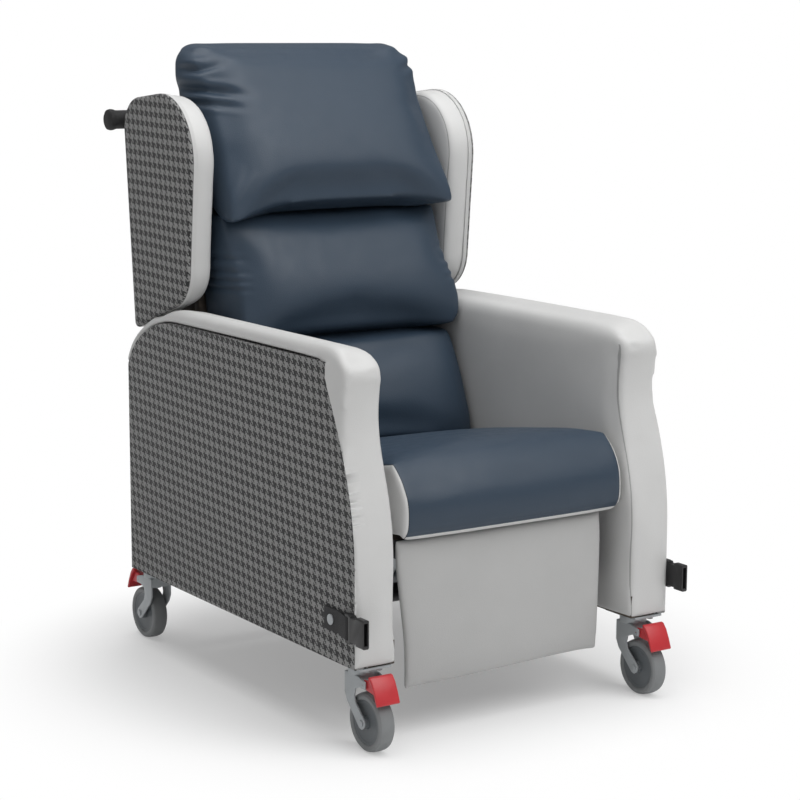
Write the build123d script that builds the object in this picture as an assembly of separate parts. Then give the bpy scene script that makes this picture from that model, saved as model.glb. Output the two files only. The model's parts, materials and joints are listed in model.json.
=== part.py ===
from build123d import *
import os
from math import cos, radians, sin, tan

# Wheeled recliner chair: padded arms on four braked castors, a fixed seat, a winged back that reclines and a
# legrest that lifts. Millimetres, +Z up, the sitter faces -Y. The outlines below give each point as a depth and a
# height: the depth runs backwards from the line where the front tyres touch the floor.

# Castors
WHEEL_BASE = 800
WHEEL_TRACK_HALF = 287.4
WHEEL_RADIUS = 50
TYRE_WIDTH = 30
TYRE_THICKNESS = 12
TYRE_ROUND = 5
HUB_INSET = 3
HUB_BOSS_RADIUS = 10
AXLE_RADIUS = 4
AXLE_HEAD_RADIUS = 6
AXLE_HEAD_LENGTH = 2
CASTOR_HEIGHT = 145
CASTOR_TRAIL = 30
FORK_SIDE_GAP = 3
FORK_WALL = 3.5
FORK_CROWN_HEIGHT = 18
FORK_CROWN_BACK = 20
FORK_CROWN_FRONT = 18
FORK_BOSS_RADIUS = 11
FORK_BOSS_TANGENT = (6.6, 8.8)
FORK_LEG_BACK_HEIGHT = 92
FORK_LEG_FRONT = 6
BEARING_HEIGHT = 10
BEARING_RADIUS = 24
KINGPIN_RADIUS = 6
KINGPIN_HEAD_RADIUS = 10
KINGPIN_HEAD_HEIGHT = 4
PLATE_THICKNESS = 4
PLATE_WIDTH = 60
PLATE_LENGTH = 84
RACE_RADIUS = 20
RACE_HEIGHT = 3
CASTOR_BOLT_RADIUS = 3
CASTOR_BOLT_SPACING_X = 22
CASTOR_BOLT_SPACING_Y = 66
CASTOR_BOLT_LENGTH = 26
CASTOR_BOLT_HEAD_RADIUS = 5.5
CASTOR_BOLT_HEAD_HEIGHT = 4
PEDAL_PIVOT_REACH = 34
PEDAL_PIVOT_DROP = 29
PEDAL_PIN_RADIUS = 3
PEDAL_EAR_RADIUS = 8
PEDAL_ARM_WALL = 4
PEDAL_TOP_REACH = 57
PEDAL_TOP_DROP = 12
PEDAL_TIP_REACH = 81
PEDAL_TIP_DROP = 54
PEDAL_THICKNESS = 4

# Arms
ARM_INNER = 246
ARM_OUTER = 326.8
ARM_BOARD_INNER = 274
ARM_BOARD_OUTER = 302
ARM_TOP_HEIGHT = 659
ARM_FRONT_DEPTH = -15
ARM_BEND_HEIGHT = 300
ARM_NECK_DEPTH = 28.6
ARM_NECK_DROP = 101
ARM_NOSE_DEPTH = 20
ARM_NOSE_DROP = 38
ARM_TOP_FRONT_DEPTH = 60
ARM_TOP_BACK_DEPTH = 600
ARM_BACK_DEPTH = 794
ARM_SHOULDER_DEPTH = 722
ARM_SHOULDER_DROP = 37
ARM_BACK_DROP = 107
ARM_NOSE_TANGENT = (-0.25, 1)
ARM_BACK_TANGENT = (0.45, -1)
ARM_PAD_THICKNESS = 20
ARM_FACING_THICKNESS = 24
ARM_PAD_FOOT_HEIGHT = 362
ARM_RETURN_GAP = 3
ARM_INNER_ROUND = 17
ARM_OUTER_ROUND = 13
ARM_FACING_ROUND = 9
PANEL_EDGE_INSET = 5
PANEL_CORNER_DEPTH = 80
PANEL_CORNER_DROP = 47
PANEL_CORNER_TANGENT = (0.42, 0.9)
BASE_RAIL_INNER = 250
BASE_RAIL_HEIGHT = 40
BASE_RAIL_COVER = 6

# Cross tubes
CROSS_TUBE_RADIUS = 16
CROSS_TUBE_WALL = 2.5
CROSS_FLANGE_RADIUS = 30
CROSS_FLANGE_THICKNESS = 5
CROSS_FRONT_DEPTH = 140
CROSS_MIDDLE_DEPTH = 330
CROSS_BACK_DEPTH = 745
CROSS_LOW_HEIGHT = 218
CROSS_BOLT_RADIUS = 4
CROSS_BOLT_OFFSET = 23
CROSS_BOLT_HEAD_RADIUS = 6.5
CROSS_BOLT_HEAD_LENGTH = 5
CROSS_BOLT_LENGTH = 20

# Seat
SEAT_BOARD_FRONT_DEPTH = 95
SEAT_BACK_DEPTH = 575
SEAT_BOARD_THICKNESS = 18
SEAT_FRONT_FOOT_HEIGHT = 348
SEAT_FOOT_SLOPE = 4.8
SEAT_FRONT_TOP_DEPTH = 42
SEAT_FRONT_TOP_HEIGHT = 470
SEAT_BACK_TOP_HEIGHT = 381
SEAT_NOSE_DEPTH = -9
SEAT_NOSE_HEIGHT = 392
SEAT_HALF_WIDTH = 230
SEAT_CROWN = 14
SEAT_SIDE_CROWN = 9
SEAT_SIDE_DRAW = 5

# Recline
STRUT_HEIGHT = 244
CRANK_RADIUS = 85
CRANK_HALF_TRAVEL = 16
CRANK_PIN_RADIUS = 5
CRANK_THICKNESS = 6
CRANK_WIDTH = 24
CRANK_TOP_REACH = 26.4
CRANK_FOOT_REACH = 38.4
BACK_PIVOT_DEPTH = 650
BACK_PIVOT_RADIUS = 8
BACK_PIVOT_FLANGE_RADIUS = 22
BACK_PIVOT_FLANGE_THICKNESS = 6
BACK_PIVOT_GRIP = 16
STRUT_RADIUS = 14
STRUT_ROD_RADIUS = 5
STRUT_CLAMP_WALL = 8
STRUT_CLAMP_WIDTH = 20
STRUT_EYE_WIDTH = 12
STRUT_EYE_WALL = 6
RECLINE_CYLINDER_END_DEPTH = 560
RECLINE_BORE_LENGTH = 140
ROD_TAIL_LENGTH = 50

# Back
BACK_HALF_WIDTH = 244
BACK_SIDE_THICKNESS = 22
BACK_BOARD_THICKNESS = 18
BACK_BOARD_FOOT_DEPTH = 615
BACK_BOARD_FOOT_HEIGHT = 390
BACK_BOARD_LEAN = 10
BACK_TOP_HEIGHT = 1030
REAR_PANEL_THICKNESS = 12
REAR_PANEL_LEAN = 6.3
REAR_PANEL_FOOT_HEIGHT = 310
BACK_SIDE_FOOT_HEIGHT = 300
BACK_SIDE_FOOT_DEPTH = 626

# Wings
WING_OUTER = 310
WING_INNER = 254
WING_PANEL_THICKNESS = 14
WING_FOOT_BACK = (798, ARM_TOP_HEIGHT - 52)
WING_TOP_BACK = (836, 1036)
WING_TOP_FRONT = (553, 1066)
WING_FOOT_FRONT = (585, ARM_TOP_HEIGHT + 25)
WING_CORNER_ROUNDS = (10, 60, 120, 80)
WING_ROUND = 12
WING_PANEL_ROUND = 6
WING_BLOCK_FOOT_HEIGHT = ARM_TOP_HEIGHT + 41
WING_BLOCK_TOP_HEIGHT = 1020

# Back cushions
CUSHION_HALF_WIDTH = 238
CUSHION_STATIONS = (-1, -0.88, -0.7, -0.4, 0, 0.4, 0.7, 0.88, 1)
CUSHION_CLEARANCE = 0.5
HEAD_FOOT_HEIGHT = 848
HEAD_TOP_HEIGHT = 1136
HEAD_FOOT_THICKNESS = 163
HEAD_TOP_THICKNESS = 52
HEAD_BULGE = 14
HEAD_END_FULLNESS = 0.95
MIDDLE_FOOT_HEIGHT = 616
MIDDLE_FOOT_THICKNESS = 144
MIDDLE_TOP_THICKNESS = 104
MIDDLE_BULGE = 12
MIDDLE_END_FULLNESS = 0.95
LUMBAR_FOOT_THICKNESS = 181
LUMBAR_TOP_THICKNESS = 142
LUMBAR_BULGE = 10
LUMBAR_END_FULLNESS = 0.8
CUSHION_GAP = 6

# Push bar
PUSH_BAR_HEIGHT = 998
PUSH_BAR_WING_REACH = 16
PUSH_BAR_DEPTH = WING_TOP_BACK[0] + PUSH_BAR_WING_REACH
PUSH_BAR_STANDOFF = 50
PUSH_BAR_RADIUS = 12.5
PUSH_STEM_OFFSET = 150
PUSH_FLANGE_RADIUS = 28
PUSH_FLANGE_THICKNESS = 5
GRIP_RADIUS = 17.5
GRIP_INNER_OFFSET = 175
GRIP_OUTER_OFFSET = 334
GRIP_END_WALL = 6
GRIP_END_ROUND = 4

# Legrest
LEGREST_PIVOT_DEPTH = 52
LEGREST_CRANK_RADIUS = 55
LEGREST_TRAVEL = 78
LEGREST_PIN_RADIUS = 5
LEGREST_EYE_RADIUS = 12
LEGREST_ARM_OFFSET = 150
LEGREST_ARM_THICKNESS = 8
LEGREST_ARM_DEPTH = 12
LEGREST_ARM_FOOT_HEIGHT = 130
LEGREST_BRACKET_THICKNESS = 7
LEGREST_BRACKET_BACK_DEPTH = 130
LEGREST_FRONT_DEPTH = 18
LEGREST_PAD_THICKNESS = 20
LEGREST_BOARD_THICKNESS = 12
LEGREST_BOARD_TOP_HEIGHT = 270
LEGREST_BOARD_MARGIN = 14
LEGREST_FOOT_HEIGHT = 87
LEGREST_TOP_HEIGHT = 332
LEGREST_HALF_WIDTH = 198
LEGREST_CROWN = 6
LEGREST_SIDE_CROWN = 1.8
LEGREST_YOKE_SLACK = 1.5
LEGREST_CYLINDER_END_DEPTH = 165
LEGREST_BORE_LENGTH = 130

# Buckles
BUCKLE_LENGTH = 53
BUCKLE_HEIGHT = 48
BUCKLE_THICKNESS = 12
BUCKLE_MID_HEIGHT = 216
BUCKLE_BAR_RADIUS = 4.2
BUCKLE_CHEEK_RADIUS = 5.5
BUCKLE_BODY_START = 9
BUCKLE_MOUTH_HEIGHT = 38
BUCKLE_MOUTH_GAP = 7
BUCKLE_MOUTH_DEEP = 34
BUCKLE_WINDOW_LENGTH = 16
BUCKLE_WINDOW_START = 22
BUCKLE_WINDOW_DEEP = 4
STRAP_HEIGHT = 38
STRAP_THICKNESS = 2.2
STRAP_LENGTH = 79
STRAP_JOIN = 34
RIVET_DEPTH = 58
RIVET_RADIUS = 2.5
RIVET_LENGTH = 18
RIVET_WASHER_RADIUS = 9
RIVET_WASHER_THICKNESS = 1.6

# Clearances
RUN_CLEARANCE = 0.05
SLIDE_CLEARANCE = 0.1
SOFT_GAP = 0.3
FACE_GAP = 0.5

# Worked-out places
ARM_NECK_HEIGHT = ARM_TOP_HEIGHT - ARM_NECK_DROP
ARM_NOSE_HEIGHT = ARM_TOP_HEIGHT - ARM_NOSE_DROP
ARM_SHOULDER_HEIGHT = ARM_TOP_HEIGHT - ARM_SHOULDER_DROP
ARM_BACK_HEIGHT = ARM_TOP_HEIGHT - ARM_BACK_DROP
PANEL_CORNER_HEIGHT = ARM_TOP_HEIGHT - PANEL_CORNER_DROP
FORK_INNER = TYRE_WIDTH / 2 + FORK_SIDE_GAP
FORK_OUTER = FORK_INNER + FORK_WALL
PLATE_FOOT = CASTOR_HEIGHT - PLATE_THICKNESS
BEARING_TOP = PLATE_FOOT - RACE_HEIGHT
CROWN_TOP = BEARING_TOP - BEARING_HEIGHT
CROWN_FOOT = CROWN_TOP - FORK_CROWN_HEIGHT
BUCKLE_BAR_X = ARM_OUTER + STRAP_THICKNESS + SOFT_GAP + BUCKLE_BAR_RADIUS
BACK_PIVOT_HEIGHT = STRUT_HEIGHT + CRANK_RADIUS * (1 + cos(radians(CRANK_HALF_TRAVEL))) / 2
LEGREST_PIVOT_HEIGHT = STRUT_HEIGHT + LEGREST_CRANK_RADIUS * (1 + cos(radians(LEGREST_TRAVEL / 2))) / 2
DEPTH_CENTRE = (PUSH_BAR_DEPTH + GRIP_RADIUS - BUCKLE_LENGTH) / 2


def at(depth, height):
    """Point of a side outline, as a place on the part's YZ plane."""
    return (depth - DEPTH_CENTRE, height)


def outline(*points):
    """Closed straight-sided outline through side points."""
    return Polyline(*[at(*point) for point in points], close=True)


def prism(edges, x_low, x_high):
    """Solid with a side outline, between two widths."""
    face = Plane.YZ.offset(x_low) * make_face(edges)
    return extrude(face, x_high - x_low, dir=(1, 0, 0))


def rod_across(radius, x_low, x_high, depth, height):
    """Round bar along X."""
    y, z = at(depth, height)
    low_end = (Align.CENTER, Align.CENTER, Align.MIN)
    return Pos(x_low, y, z) * Rot(0, 90, 0) * Cylinder(radius, x_high - x_low, align=low_end)


def rod_along(radius, x, depth_low, depth_high, height):
    """Round bar from front to back."""
    y, z = at(depth_low, height)
    low_end = (Align.CENTER, Align.CENTER, Align.MIN)
    return Pos(x, y, z) * Rot(-90, 0, 0) * Cylinder(radius, depth_high - depth_low, align=low_end)


def block(x_low, x_high, depth_low, depth_high, height_low, height_high):
    """Straight block between six planes."""
    y, z = at(depth_low, height_low)
    corner = (Align.MIN, Align.MIN, Align.MIN)
    size = (x_high - x_low, depth_high - depth_low, height_high - height_low)
    return Pos(x_low, y, z) * Box(*size, align=corner)


def mirrored(shape):
    """The same piece on the other side of the chair."""
    return mirror(shape, about=Plane.YZ)


def seat_foot(depth):
    """Height of the seat cushion's underside."""
    return SEAT_FRONT_FOOT_HEIGHT - depth * tan(radians(SEAT_FOOT_SLOPE))


def seat_top(depth):
    """Height of the straight line along the seat's top edge."""
    share = (depth - SEAT_FRONT_TOP_DEPTH) / (SEAT_BACK_DEPTH - SEAT_FRONT_TOP_DEPTH)
    return SEAT_FRONT_TOP_HEIGHT + share * (SEAT_BACK_TOP_HEIGHT - SEAT_FRONT_TOP_HEIGHT)


def board_face(height):
    """Depth of the back board's front face."""
    return BACK_BOARD_FOOT_DEPTH + (height - BACK_BOARD_FOOT_HEIGHT) * tan(radians(BACK_BOARD_LEAN))


def board_back(height):
    """Depth of the back board's rear face."""
    return board_face(height) + BACK_BOARD_THICKNESS / cos(radians(BACK_BOARD_LEAN))


def rear_face(height):
    """Depth of the rear panel's outer face, which the push bar stands off from."""
    lean = radians(REAR_PANEL_LEAN)
    return PUSH_BAR_DEPTH - PUSH_BAR_STANDOFF / cos(lean) + (height - PUSH_BAR_HEIGHT) * tan(lean)


def rear_inner(height):
    """Depth of the rear panel's inner face."""
    return rear_face(height) - REAR_PANEL_THICKNESS / cos(radians(REAR_PANEL_LEAN))


# Arms


def front_curve(shift):
    """The arm's front: straight up, drawn in below the nose, then out again."""
    foot = at(ARM_FRONT_DEPTH + shift, CASTOR_HEIGHT)
    bend = at(ARM_FRONT_DEPTH + shift, ARM_BEND_HEIGHT)
    neck = at(ARM_NECK_DEPTH + shift, ARM_NECK_HEIGHT)
    nose = at(ARM_NOSE_DEPTH + shift, ARM_NOSE_HEIGHT)
    curve = Spline(bend, neck, nose, tangents=[(0, 1), ARM_NOSE_TANGENT])
    return [Line(foot, bend), curve]


def shoulder_curve(drop):
    """The arm's top, or its padding's underside, falling in a wide round to the rear edge."""
    front = at(ARM_TOP_FRONT_DEPTH, ARM_TOP_HEIGHT - drop)
    back = at(ARM_TOP_BACK_DEPTH, ARM_TOP_HEIGHT - drop)
    shoulder = at(ARM_SHOULDER_DEPTH, ARM_SHOULDER_HEIGHT - drop / 2)
    end = at(ARM_BACK_DEPTH, ARM_BACK_HEIGHT - drop / 2)
    return [Line(front, back), Spline(back, shoulder, end, tangents=[(1, 0), ARM_BACK_TANGENT])]


def panel_edge():
    """Front edge of the cloth panel: straight up, then running back towards the top."""
    foot = at(ARM_FRONT_DEPTH + PANEL_EDGE_INSET, CASTOR_HEIGHT)
    low = at(ARM_FRONT_DEPTH + PANEL_EDGE_INSET, ARM_BEND_HEIGHT)
    high = at(PANEL_CORNER_DEPTH, PANEL_CORNER_HEIGHT)
    return [Line(foot, low), Spline(low, high, tangents=[(0, 1), PANEL_CORNER_TANGENT])]


def side_frame():
    """Timber side board with the base rail that the castors are bolted to."""
    front = front_curve(ARM_FACING_THICKNESS)
    shoulder = shoulder_curve(ARM_PAD_THICKNESS)
    foot = at(ARM_BACK_DEPTH, CASTOR_HEIGHT)
    edges = front + [Line(front[1] @ 1, shoulder[0] @ 0)] + shoulder
    edges += [Line(shoulder[1] @ 1, foot), Line(foot, front[0] @ 0)]
    board = prism(edges, ARM_BOARD_INNER, ARM_BOARD_OUTER)
    frame = board + base_rail()
    for bolt in castor_bolt_places(1):
        frame -= bolt * Cylinder(CASTOR_BOLT_RADIUS, 2 * CASTOR_BOLT_LENGTH)
    for depth, height in cross_places():
        for offset in (-CROSS_BOLT_OFFSET, CROSS_BOLT_OFFSET):
            end = ARM_BOARD_INNER + CROSS_BOLT_LENGTH
            frame -= rod_across(CROSS_BOLT_RADIUS, ARM_BOARD_INNER, end, depth + offset, height)
    pin_end = ARM_BOARD_INNER + BACK_PIVOT_GRIP
    frame -= rod_across(BACK_PIVOT_RADIUS, ARM_BOARD_INNER, pin_end, BACK_PIVOT_DEPTH, BACK_PIVOT_HEIGHT)
    return frame


def base_rail():
    """Rail along the foot of the side board, reaching forwards into the front facing."""
    front = ARM_FRONT_DEPTH + BASE_RAIL_COVER
    top = CASTOR_HEIGHT + BASE_RAIL_HEIGHT
    return block(BASE_RAIL_INNER, ARM_BOARD_OUTER, front, ARM_BACK_DEPTH, CASTOR_HEIGHT, top)


def outer_panel():
    """Cloth-covered outer side panel."""
    foot_back = at(ARM_BACK_DEPTH, CASTOR_HEIGHT)
    front = panel_edge()
    shoulder = shoulder_curve(ARM_PAD_THICKNESS)
    top = at(PANEL_CORNER_DEPTH, ARM_TOP_HEIGHT - ARM_PAD_THICKNESS)
    edges = front + [Line(front[1] @ 1, top), Line(top, shoulder[0] @ 1)]
    edges += [shoulder[1], Line(shoulder[1] @ 1, foot_back), Line(foot_back, front[0] @ 0)]
    panel = prism(edges, ARM_BOARD_OUTER, ARM_OUTER)
    shank_start = ARM_OUTER - RIVET_LENGTH
    panel -= rod_across(RIVET_RADIUS, shank_start, ARM_OUTER, RIVET_DEPTH, BUCKLE_MID_HEIGHT)
    return panel


def arm_facing():
    """Padded front facing, wrapped round the outer corner ahead of the cloth panel."""
    front = front_curve(0)
    back = front_curve(ARM_FACING_THICKNESS)
    inner_edges = front + [Line(front[1] @ 1, back[1] @ 1)] + back + [Line(back[0] @ 0, front[0] @ 0)]
    facing = prism(inner_edges, ARM_INNER, ARM_BOARD_OUTER)
    tall = facing.edges().filter_by(lambda edge: abs(edge.center().X - ARM_INNER) < FACE_GAP)
    tall = tall.filter_by(lambda edge: edge.bounding_box().size.Z > ARM_FACING_THICKNESS)
    tall = tall.sort_by(Axis.Y)[:2]
    facing = fillet(tall, ARM_FACING_ROUND)
    edge = panel_edge()
    top_height = ARM_TOP_HEIGHT - ARM_PAD_THICKNESS
    step = back[1] @ 1
    step_top = at(ARM_TOP_FRONT_DEPTH, top_height)
    corner = at(PANEL_CORNER_DEPTH, top_height)
    wrap_edges = front + [Line(front[1] @ 1, step), Line(step, step_top), Line(step_top, corner)]
    wrap_edges += [Line(corner, edge[1] @ 1)] + edge + [Line(edge[0] @ 0, front[0] @ 0)]
    return facing + prism(wrap_edges, ARM_BOARD_OUTER, ARM_OUTER) - base_rail()


def arm_pad():
    """Padded top with its rounded nose, in one piece with the inner face, which reaches the floor rail in front."""
    shoulder = shoulder_curve(0)
    under = shoulder_curve(ARM_PAD_THICKNESS)
    facing_back = front_curve(ARM_FACING_THICKNESS)
    nose_foot = at(ARM_NOSE_DEPTH, ARM_NOSE_HEIGHT)
    step = facing_back[1] @ 1
    nose = Spline(nose_foot, shoulder[0] @ 0, tangents=[ARM_NOSE_TANGENT, (1, 0)])
    top_edges = [nose] + shoulder + [Line(shoulder[1] @ 1, under[1] @ 1)] + under
    top_edges += [Line(under[0] @ 0, step), Line(step, nose_foot)]
    top = prism(top_edges, ARM_INNER, ARM_OUTER)
    for face_x, radius in ((ARM_INNER, ARM_INNER_ROUND), (ARM_OUTER, ARM_OUTER_ROUND)):
        rim = top.edges().filter_by(lambda edge: abs(edge.center().X - face_x) < FACE_GAP)
        top = fillet(crest_edges(rim, shoulder + [nose]), radius)
    foot_back = at(ARM_BACK_DEPTH, CASTOR_HEIGHT)
    inner_edges = facing_back + [Line(step, under[0] @ 0)] + under
    inner_edges += [Line(under[1] @ 1, foot_back), Line(foot_back, facing_back[0] @ 0)]
    inner = prism(inner_edges, ARM_INNER, ARM_BOARD_INNER)
    skirt_front = SEAT_BOARD_FRONT_DEPTH - ARM_RETURN_GAP
    skirt = block(ARM_INNER, ARM_BOARD_INNER, skirt_front, ARM_BACK_DEPTH, CASTOR_HEIGHT, ARM_PAD_FOOT_HEIGHT)
    return top + (inner - skirt - base_rail())


def crest_edges(edges, curves):
    """The edges of a solid that follow the given side curves."""
    chosen = ShapeList()
    for edge in edges:
        middle = edge @ 0.5
        for curve in curves:
            place = curve @ 0.5
            if abs(place.X - middle.Y) < FACE_GAP and abs(place.Y - middle.Z) < FACE_GAP:
                chosen.append(edge)
    return chosen


# Frame


def cross_places():
    """Depth and height of the three cross tubes."""
    return (
        (CROSS_FRONT_DEPTH, CROSS_LOW_HEIGHT),
        (CROSS_MIDDLE_DEPTH, STRUT_HEIGHT),
        (CROSS_BACK_DEPTH, CROSS_LOW_HEIGHT),
    )


def cross_tube(depth, height):
    """Steel tube between the side frames, with a bolted flange at each end."""
    tube = rod_across(CROSS_TUBE_RADIUS, -ARM_BOARD_INNER, ARM_BOARD_INNER, depth, height)
    for side in (-1, 1):
        ends = sorted((side * ARM_BOARD_INNER, side * (ARM_BOARD_INNER - CROSS_FLANGE_THICKNESS)))
        flange = rod_across(CROSS_FLANGE_RADIUS, ends[0], ends[1], depth, height)
        for offset in (-CROSS_BOLT_OFFSET, CROSS_BOLT_OFFSET):
            flange -= rod_across(CROSS_BOLT_RADIUS, ends[0], ends[1], depth + offset, height)
        tube += flange
    bore = CROSS_TUBE_RADIUS - CROSS_TUBE_WALL
    return tube - rod_across(bore, -ARM_BOARD_INNER, ARM_BOARD_INNER, depth, height)


def cross_bolt(depth, height):
    """Bolt through a cross tube's flange into the right side frame."""
    flange_face = ARM_BOARD_INNER - CROSS_FLANGE_THICKNESS
    shank = rod_across(CROSS_BOLT_RADIUS, flange_face, ARM_BOARD_INNER + CROSS_BOLT_LENGTH, depth, height)
    head_start = flange_face - CROSS_BOLT_HEAD_LENGTH
    return shank + rod_across(CROSS_BOLT_HEAD_RADIUS, head_start, flange_face, depth, height)


def cross_bolts():
    """All bolts of the three cross tubes."""
    bolts = []
    for depth, height in cross_places():
        for offset in (-CROSS_BOLT_OFFSET, CROSS_BOLT_OFFSET):
            bolt = cross_bolt(depth + offset, height)
            bolts += [bolt, mirrored(bolt)]
    return bolts


# Castors


def castor_axis(end):
    """Depth of a swivel axis: end is -1 at the front, 1 at the back."""
    if end < 0:
        return CASTOR_TRAIL
    return WHEEL_BASE - CASTOR_TRAIL


def castor_bolt_places(side):
    """Where the castor bolts of one side enter the base rail."""
    places = []
    for end in (-1, 1):
        for across in (-0.5, 0.5):
            for along in (-0.5, 0.5):
                x = side * WHEEL_TRACK_HALF + across * CASTOR_BOLT_SPACING_X
                depth = castor_axis(end) + along * CASTOR_BOLT_SPACING_Y
                places.append(Pos(x, at(depth, 0)[0], CASTOR_HEIGHT))
    return places


def castor_bolt():
    """Bolt with its head under the castor plate, standing at the rail's underside."""
    low_end = (Align.CENTER, Align.CENTER, Align.MIN)
    shank_length = PLATE_THICKNESS + CASTOR_BOLT_LENGTH
    shank = Pos(0, 0, -PLATE_THICKNESS) * Cylinder(CASTOR_BOLT_RADIUS, shank_length, align=low_end)
    head_place = Pos(0, 0, -PLATE_THICKNESS - CASTOR_BOLT_HEAD_HEIGHT)
    return shank + head_place * Cylinder(CASTOR_BOLT_HEAD_RADIUS, CASTOR_BOLT_HEAD_HEIGHT, align=low_end)


def disc(radius, height_low, height_high):
    """Upright round on the Z axis."""
    low_end = (Align.CENTER, Align.CENTER, Align.MIN)
    return Pos(0, 0, height_low) * Cylinder(radius, height_high - height_low, align=low_end)


def castor_plate():
    """Mounting plate with its bearing race and the riveted kingpin, on the swivel axis."""
    low_end = (Align.CENTER, Align.CENTER, Align.MIN)
    plate = Pos(0, 0, PLATE_FOOT) * Box(PLATE_WIDTH, PLATE_LENGTH, PLATE_THICKNESS, align=low_end)
    for across in (-0.5, 0.5):
        for along in (-0.5, 0.5):
            place = Pos(across * CASTOR_BOLT_SPACING_X, along * CASTOR_BOLT_SPACING_Y, CASTOR_HEIGHT)
            plate -= place * Cylinder(CASTOR_BOLT_RADIUS, 2 * CASTOR_BOLT_LENGTH)
    plate += disc(RACE_RADIUS, BEARING_TOP + SOFT_GAP, PLATE_FOOT)
    plate += disc(KINGPIN_RADIUS, CROWN_FOOT - SOFT_GAP, PLATE_FOOT)
    head_top = CROWN_FOOT - SOFT_GAP
    return plate + disc(KINGPIN_HEAD_RADIUS, head_top - KINGPIN_HEAD_HEIGHT, head_top)


# Each castor is drawn with its swivel axis on Z and its wheel trailing towards -Y, then placed.


def castor_point(reach, height):
    """Point of a castor's side outline: reach runs from the swivel axis towards the wheel."""
    return (-reach, height)


def castor_prism(points, x_low, x_high):
    """Straight-sided castor solid between two widths."""
    face = Plane.YZ.offset(x_low) * make_face(Polyline(*[castor_point(*point) for point in points], close=True))
    return extrude(face, x_high - x_low, dir=(1, 0, 0))


def castor_rod(radius, x_low, x_high, reach, height):
    """Round bar along X in a castor."""
    low_end = (Align.CENTER, Align.CENTER, Align.MIN)
    return Pos(x_low, -reach, height) * Rot(0, 90, 0) * Cylinder(radius, x_high - x_low, align=low_end)


def pedal_pivot():
    """Reach and height of the brake pedal's pivot."""
    return (PEDAL_PIVOT_REACH, CASTOR_HEIGHT - PEDAL_PIVOT_DROP)


def castor_fork():
    """Stamped fork: bearing housing, crown, two legs and the ears that carry the pedal."""
    reach = CASTOR_TRAIL
    boss = FORK_BOSS_RADIUS
    short, long = FORK_BOSS_TANGENT
    ear_reach, ear_height = pedal_pivot()
    leg_points = (
        (-FORK_CROWN_BACK, CROWN_TOP),
        (-FORK_CROWN_BACK, FORK_LEG_BACK_HEIGHT),
        (reach - short, WHEEL_RADIUS - long),
        (reach + long, WHEEL_RADIUS + short),
        (FORK_LEG_FRONT, FORK_LEG_BACK_HEIGHT),
        (FORK_CROWN_FRONT, CROWN_FOOT),
        (ear_reach, ear_height - PEDAL_EAR_RADIUS),
        (ear_reach, ear_height + PEDAL_EAR_RADIUS),
        (FORK_CROWN_FRONT, CROWN_TOP),
    )
    crown_points = (
        (-FORK_CROWN_BACK, CROWN_FOOT),
        (FORK_CROWN_FRONT, CROWN_FOOT),
        (FORK_CROWN_FRONT, CROWN_TOP),
        (-FORK_CROWN_BACK, CROWN_TOP),
    )
    fork = castor_prism(crown_points, -FORK_OUTER, FORK_OUTER) + disc(BEARING_RADIUS, CROWN_TOP, BEARING_TOP)
    for low, high in ((-FORK_OUTER, -FORK_INNER), (FORK_INNER, FORK_OUTER)):
        leg = castor_prism(leg_points, low, high)
        leg += castor_rod(boss, low, high, reach, WHEEL_RADIUS)
        leg += castor_rod(PEDAL_EAR_RADIUS, low, high, ear_reach, ear_height)
        leg -= castor_rod(AXLE_RADIUS, low, high, reach, WHEEL_RADIUS)
        leg -= castor_rod(PEDAL_PIN_RADIUS + RUN_CLEARANCE, low, high, ear_reach, ear_height)
        fork += leg
    return fork - disc(KINGPIN_RADIUS + RUN_CLEARANCE, CROWN_FOOT, BEARING_TOP)


def castor_axle():
    """Axle with a head and a nut outside the fork's legs."""
    axle = castor_rod(AXLE_RADIUS, -FORK_OUTER, FORK_OUTER, CASTOR_TRAIL, WHEEL_RADIUS)
    for start in (-FORK_OUTER - AXLE_HEAD_LENGTH, FORK_OUTER):
        axle += castor_rod(AXLE_HEAD_RADIUS, start, start + AXLE_HEAD_LENGTH, CASTOR_TRAIL, WHEEL_RADIUS)
    return axle


def castor_hub():
    """Moulded hub with a recessed web and a boss that runs on the axle."""
    half = TYRE_WIDTH / 2
    radius = WHEEL_RADIUS - TYRE_THICKNESS
    hub = castor_rod(radius, -half + HUB_INSET, half - HUB_INSET, CASTOR_TRAIL, WHEEL_RADIUS)
    boss_half = FORK_INNER - FACE_GAP
    hub += castor_rod(HUB_BOSS_RADIUS, -boss_half, boss_half, CASTOR_TRAIL, WHEEL_RADIUS)
    return hub - castor_rod(AXLE_RADIUS + RUN_CLEARANCE, -boss_half, boss_half, CASTOR_TRAIL, WHEEL_RADIUS)


def castor_tyre():
    """Rubber tyre with rounded shoulders."""
    half = TYRE_WIDTH / 2
    tyre = castor_rod(WHEEL_RADIUS, -half, half, CASTOR_TRAIL, WHEEL_RADIUS)
    tyre = fillet(tyre.edges().filter_by(GeomType.CIRCLE), TYRE_ROUND)
    return tyre - castor_rod(WHEEL_RADIUS - TYRE_THICKNESS, -half, half, CASTOR_TRAIL, WHEEL_RADIUS)


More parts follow.
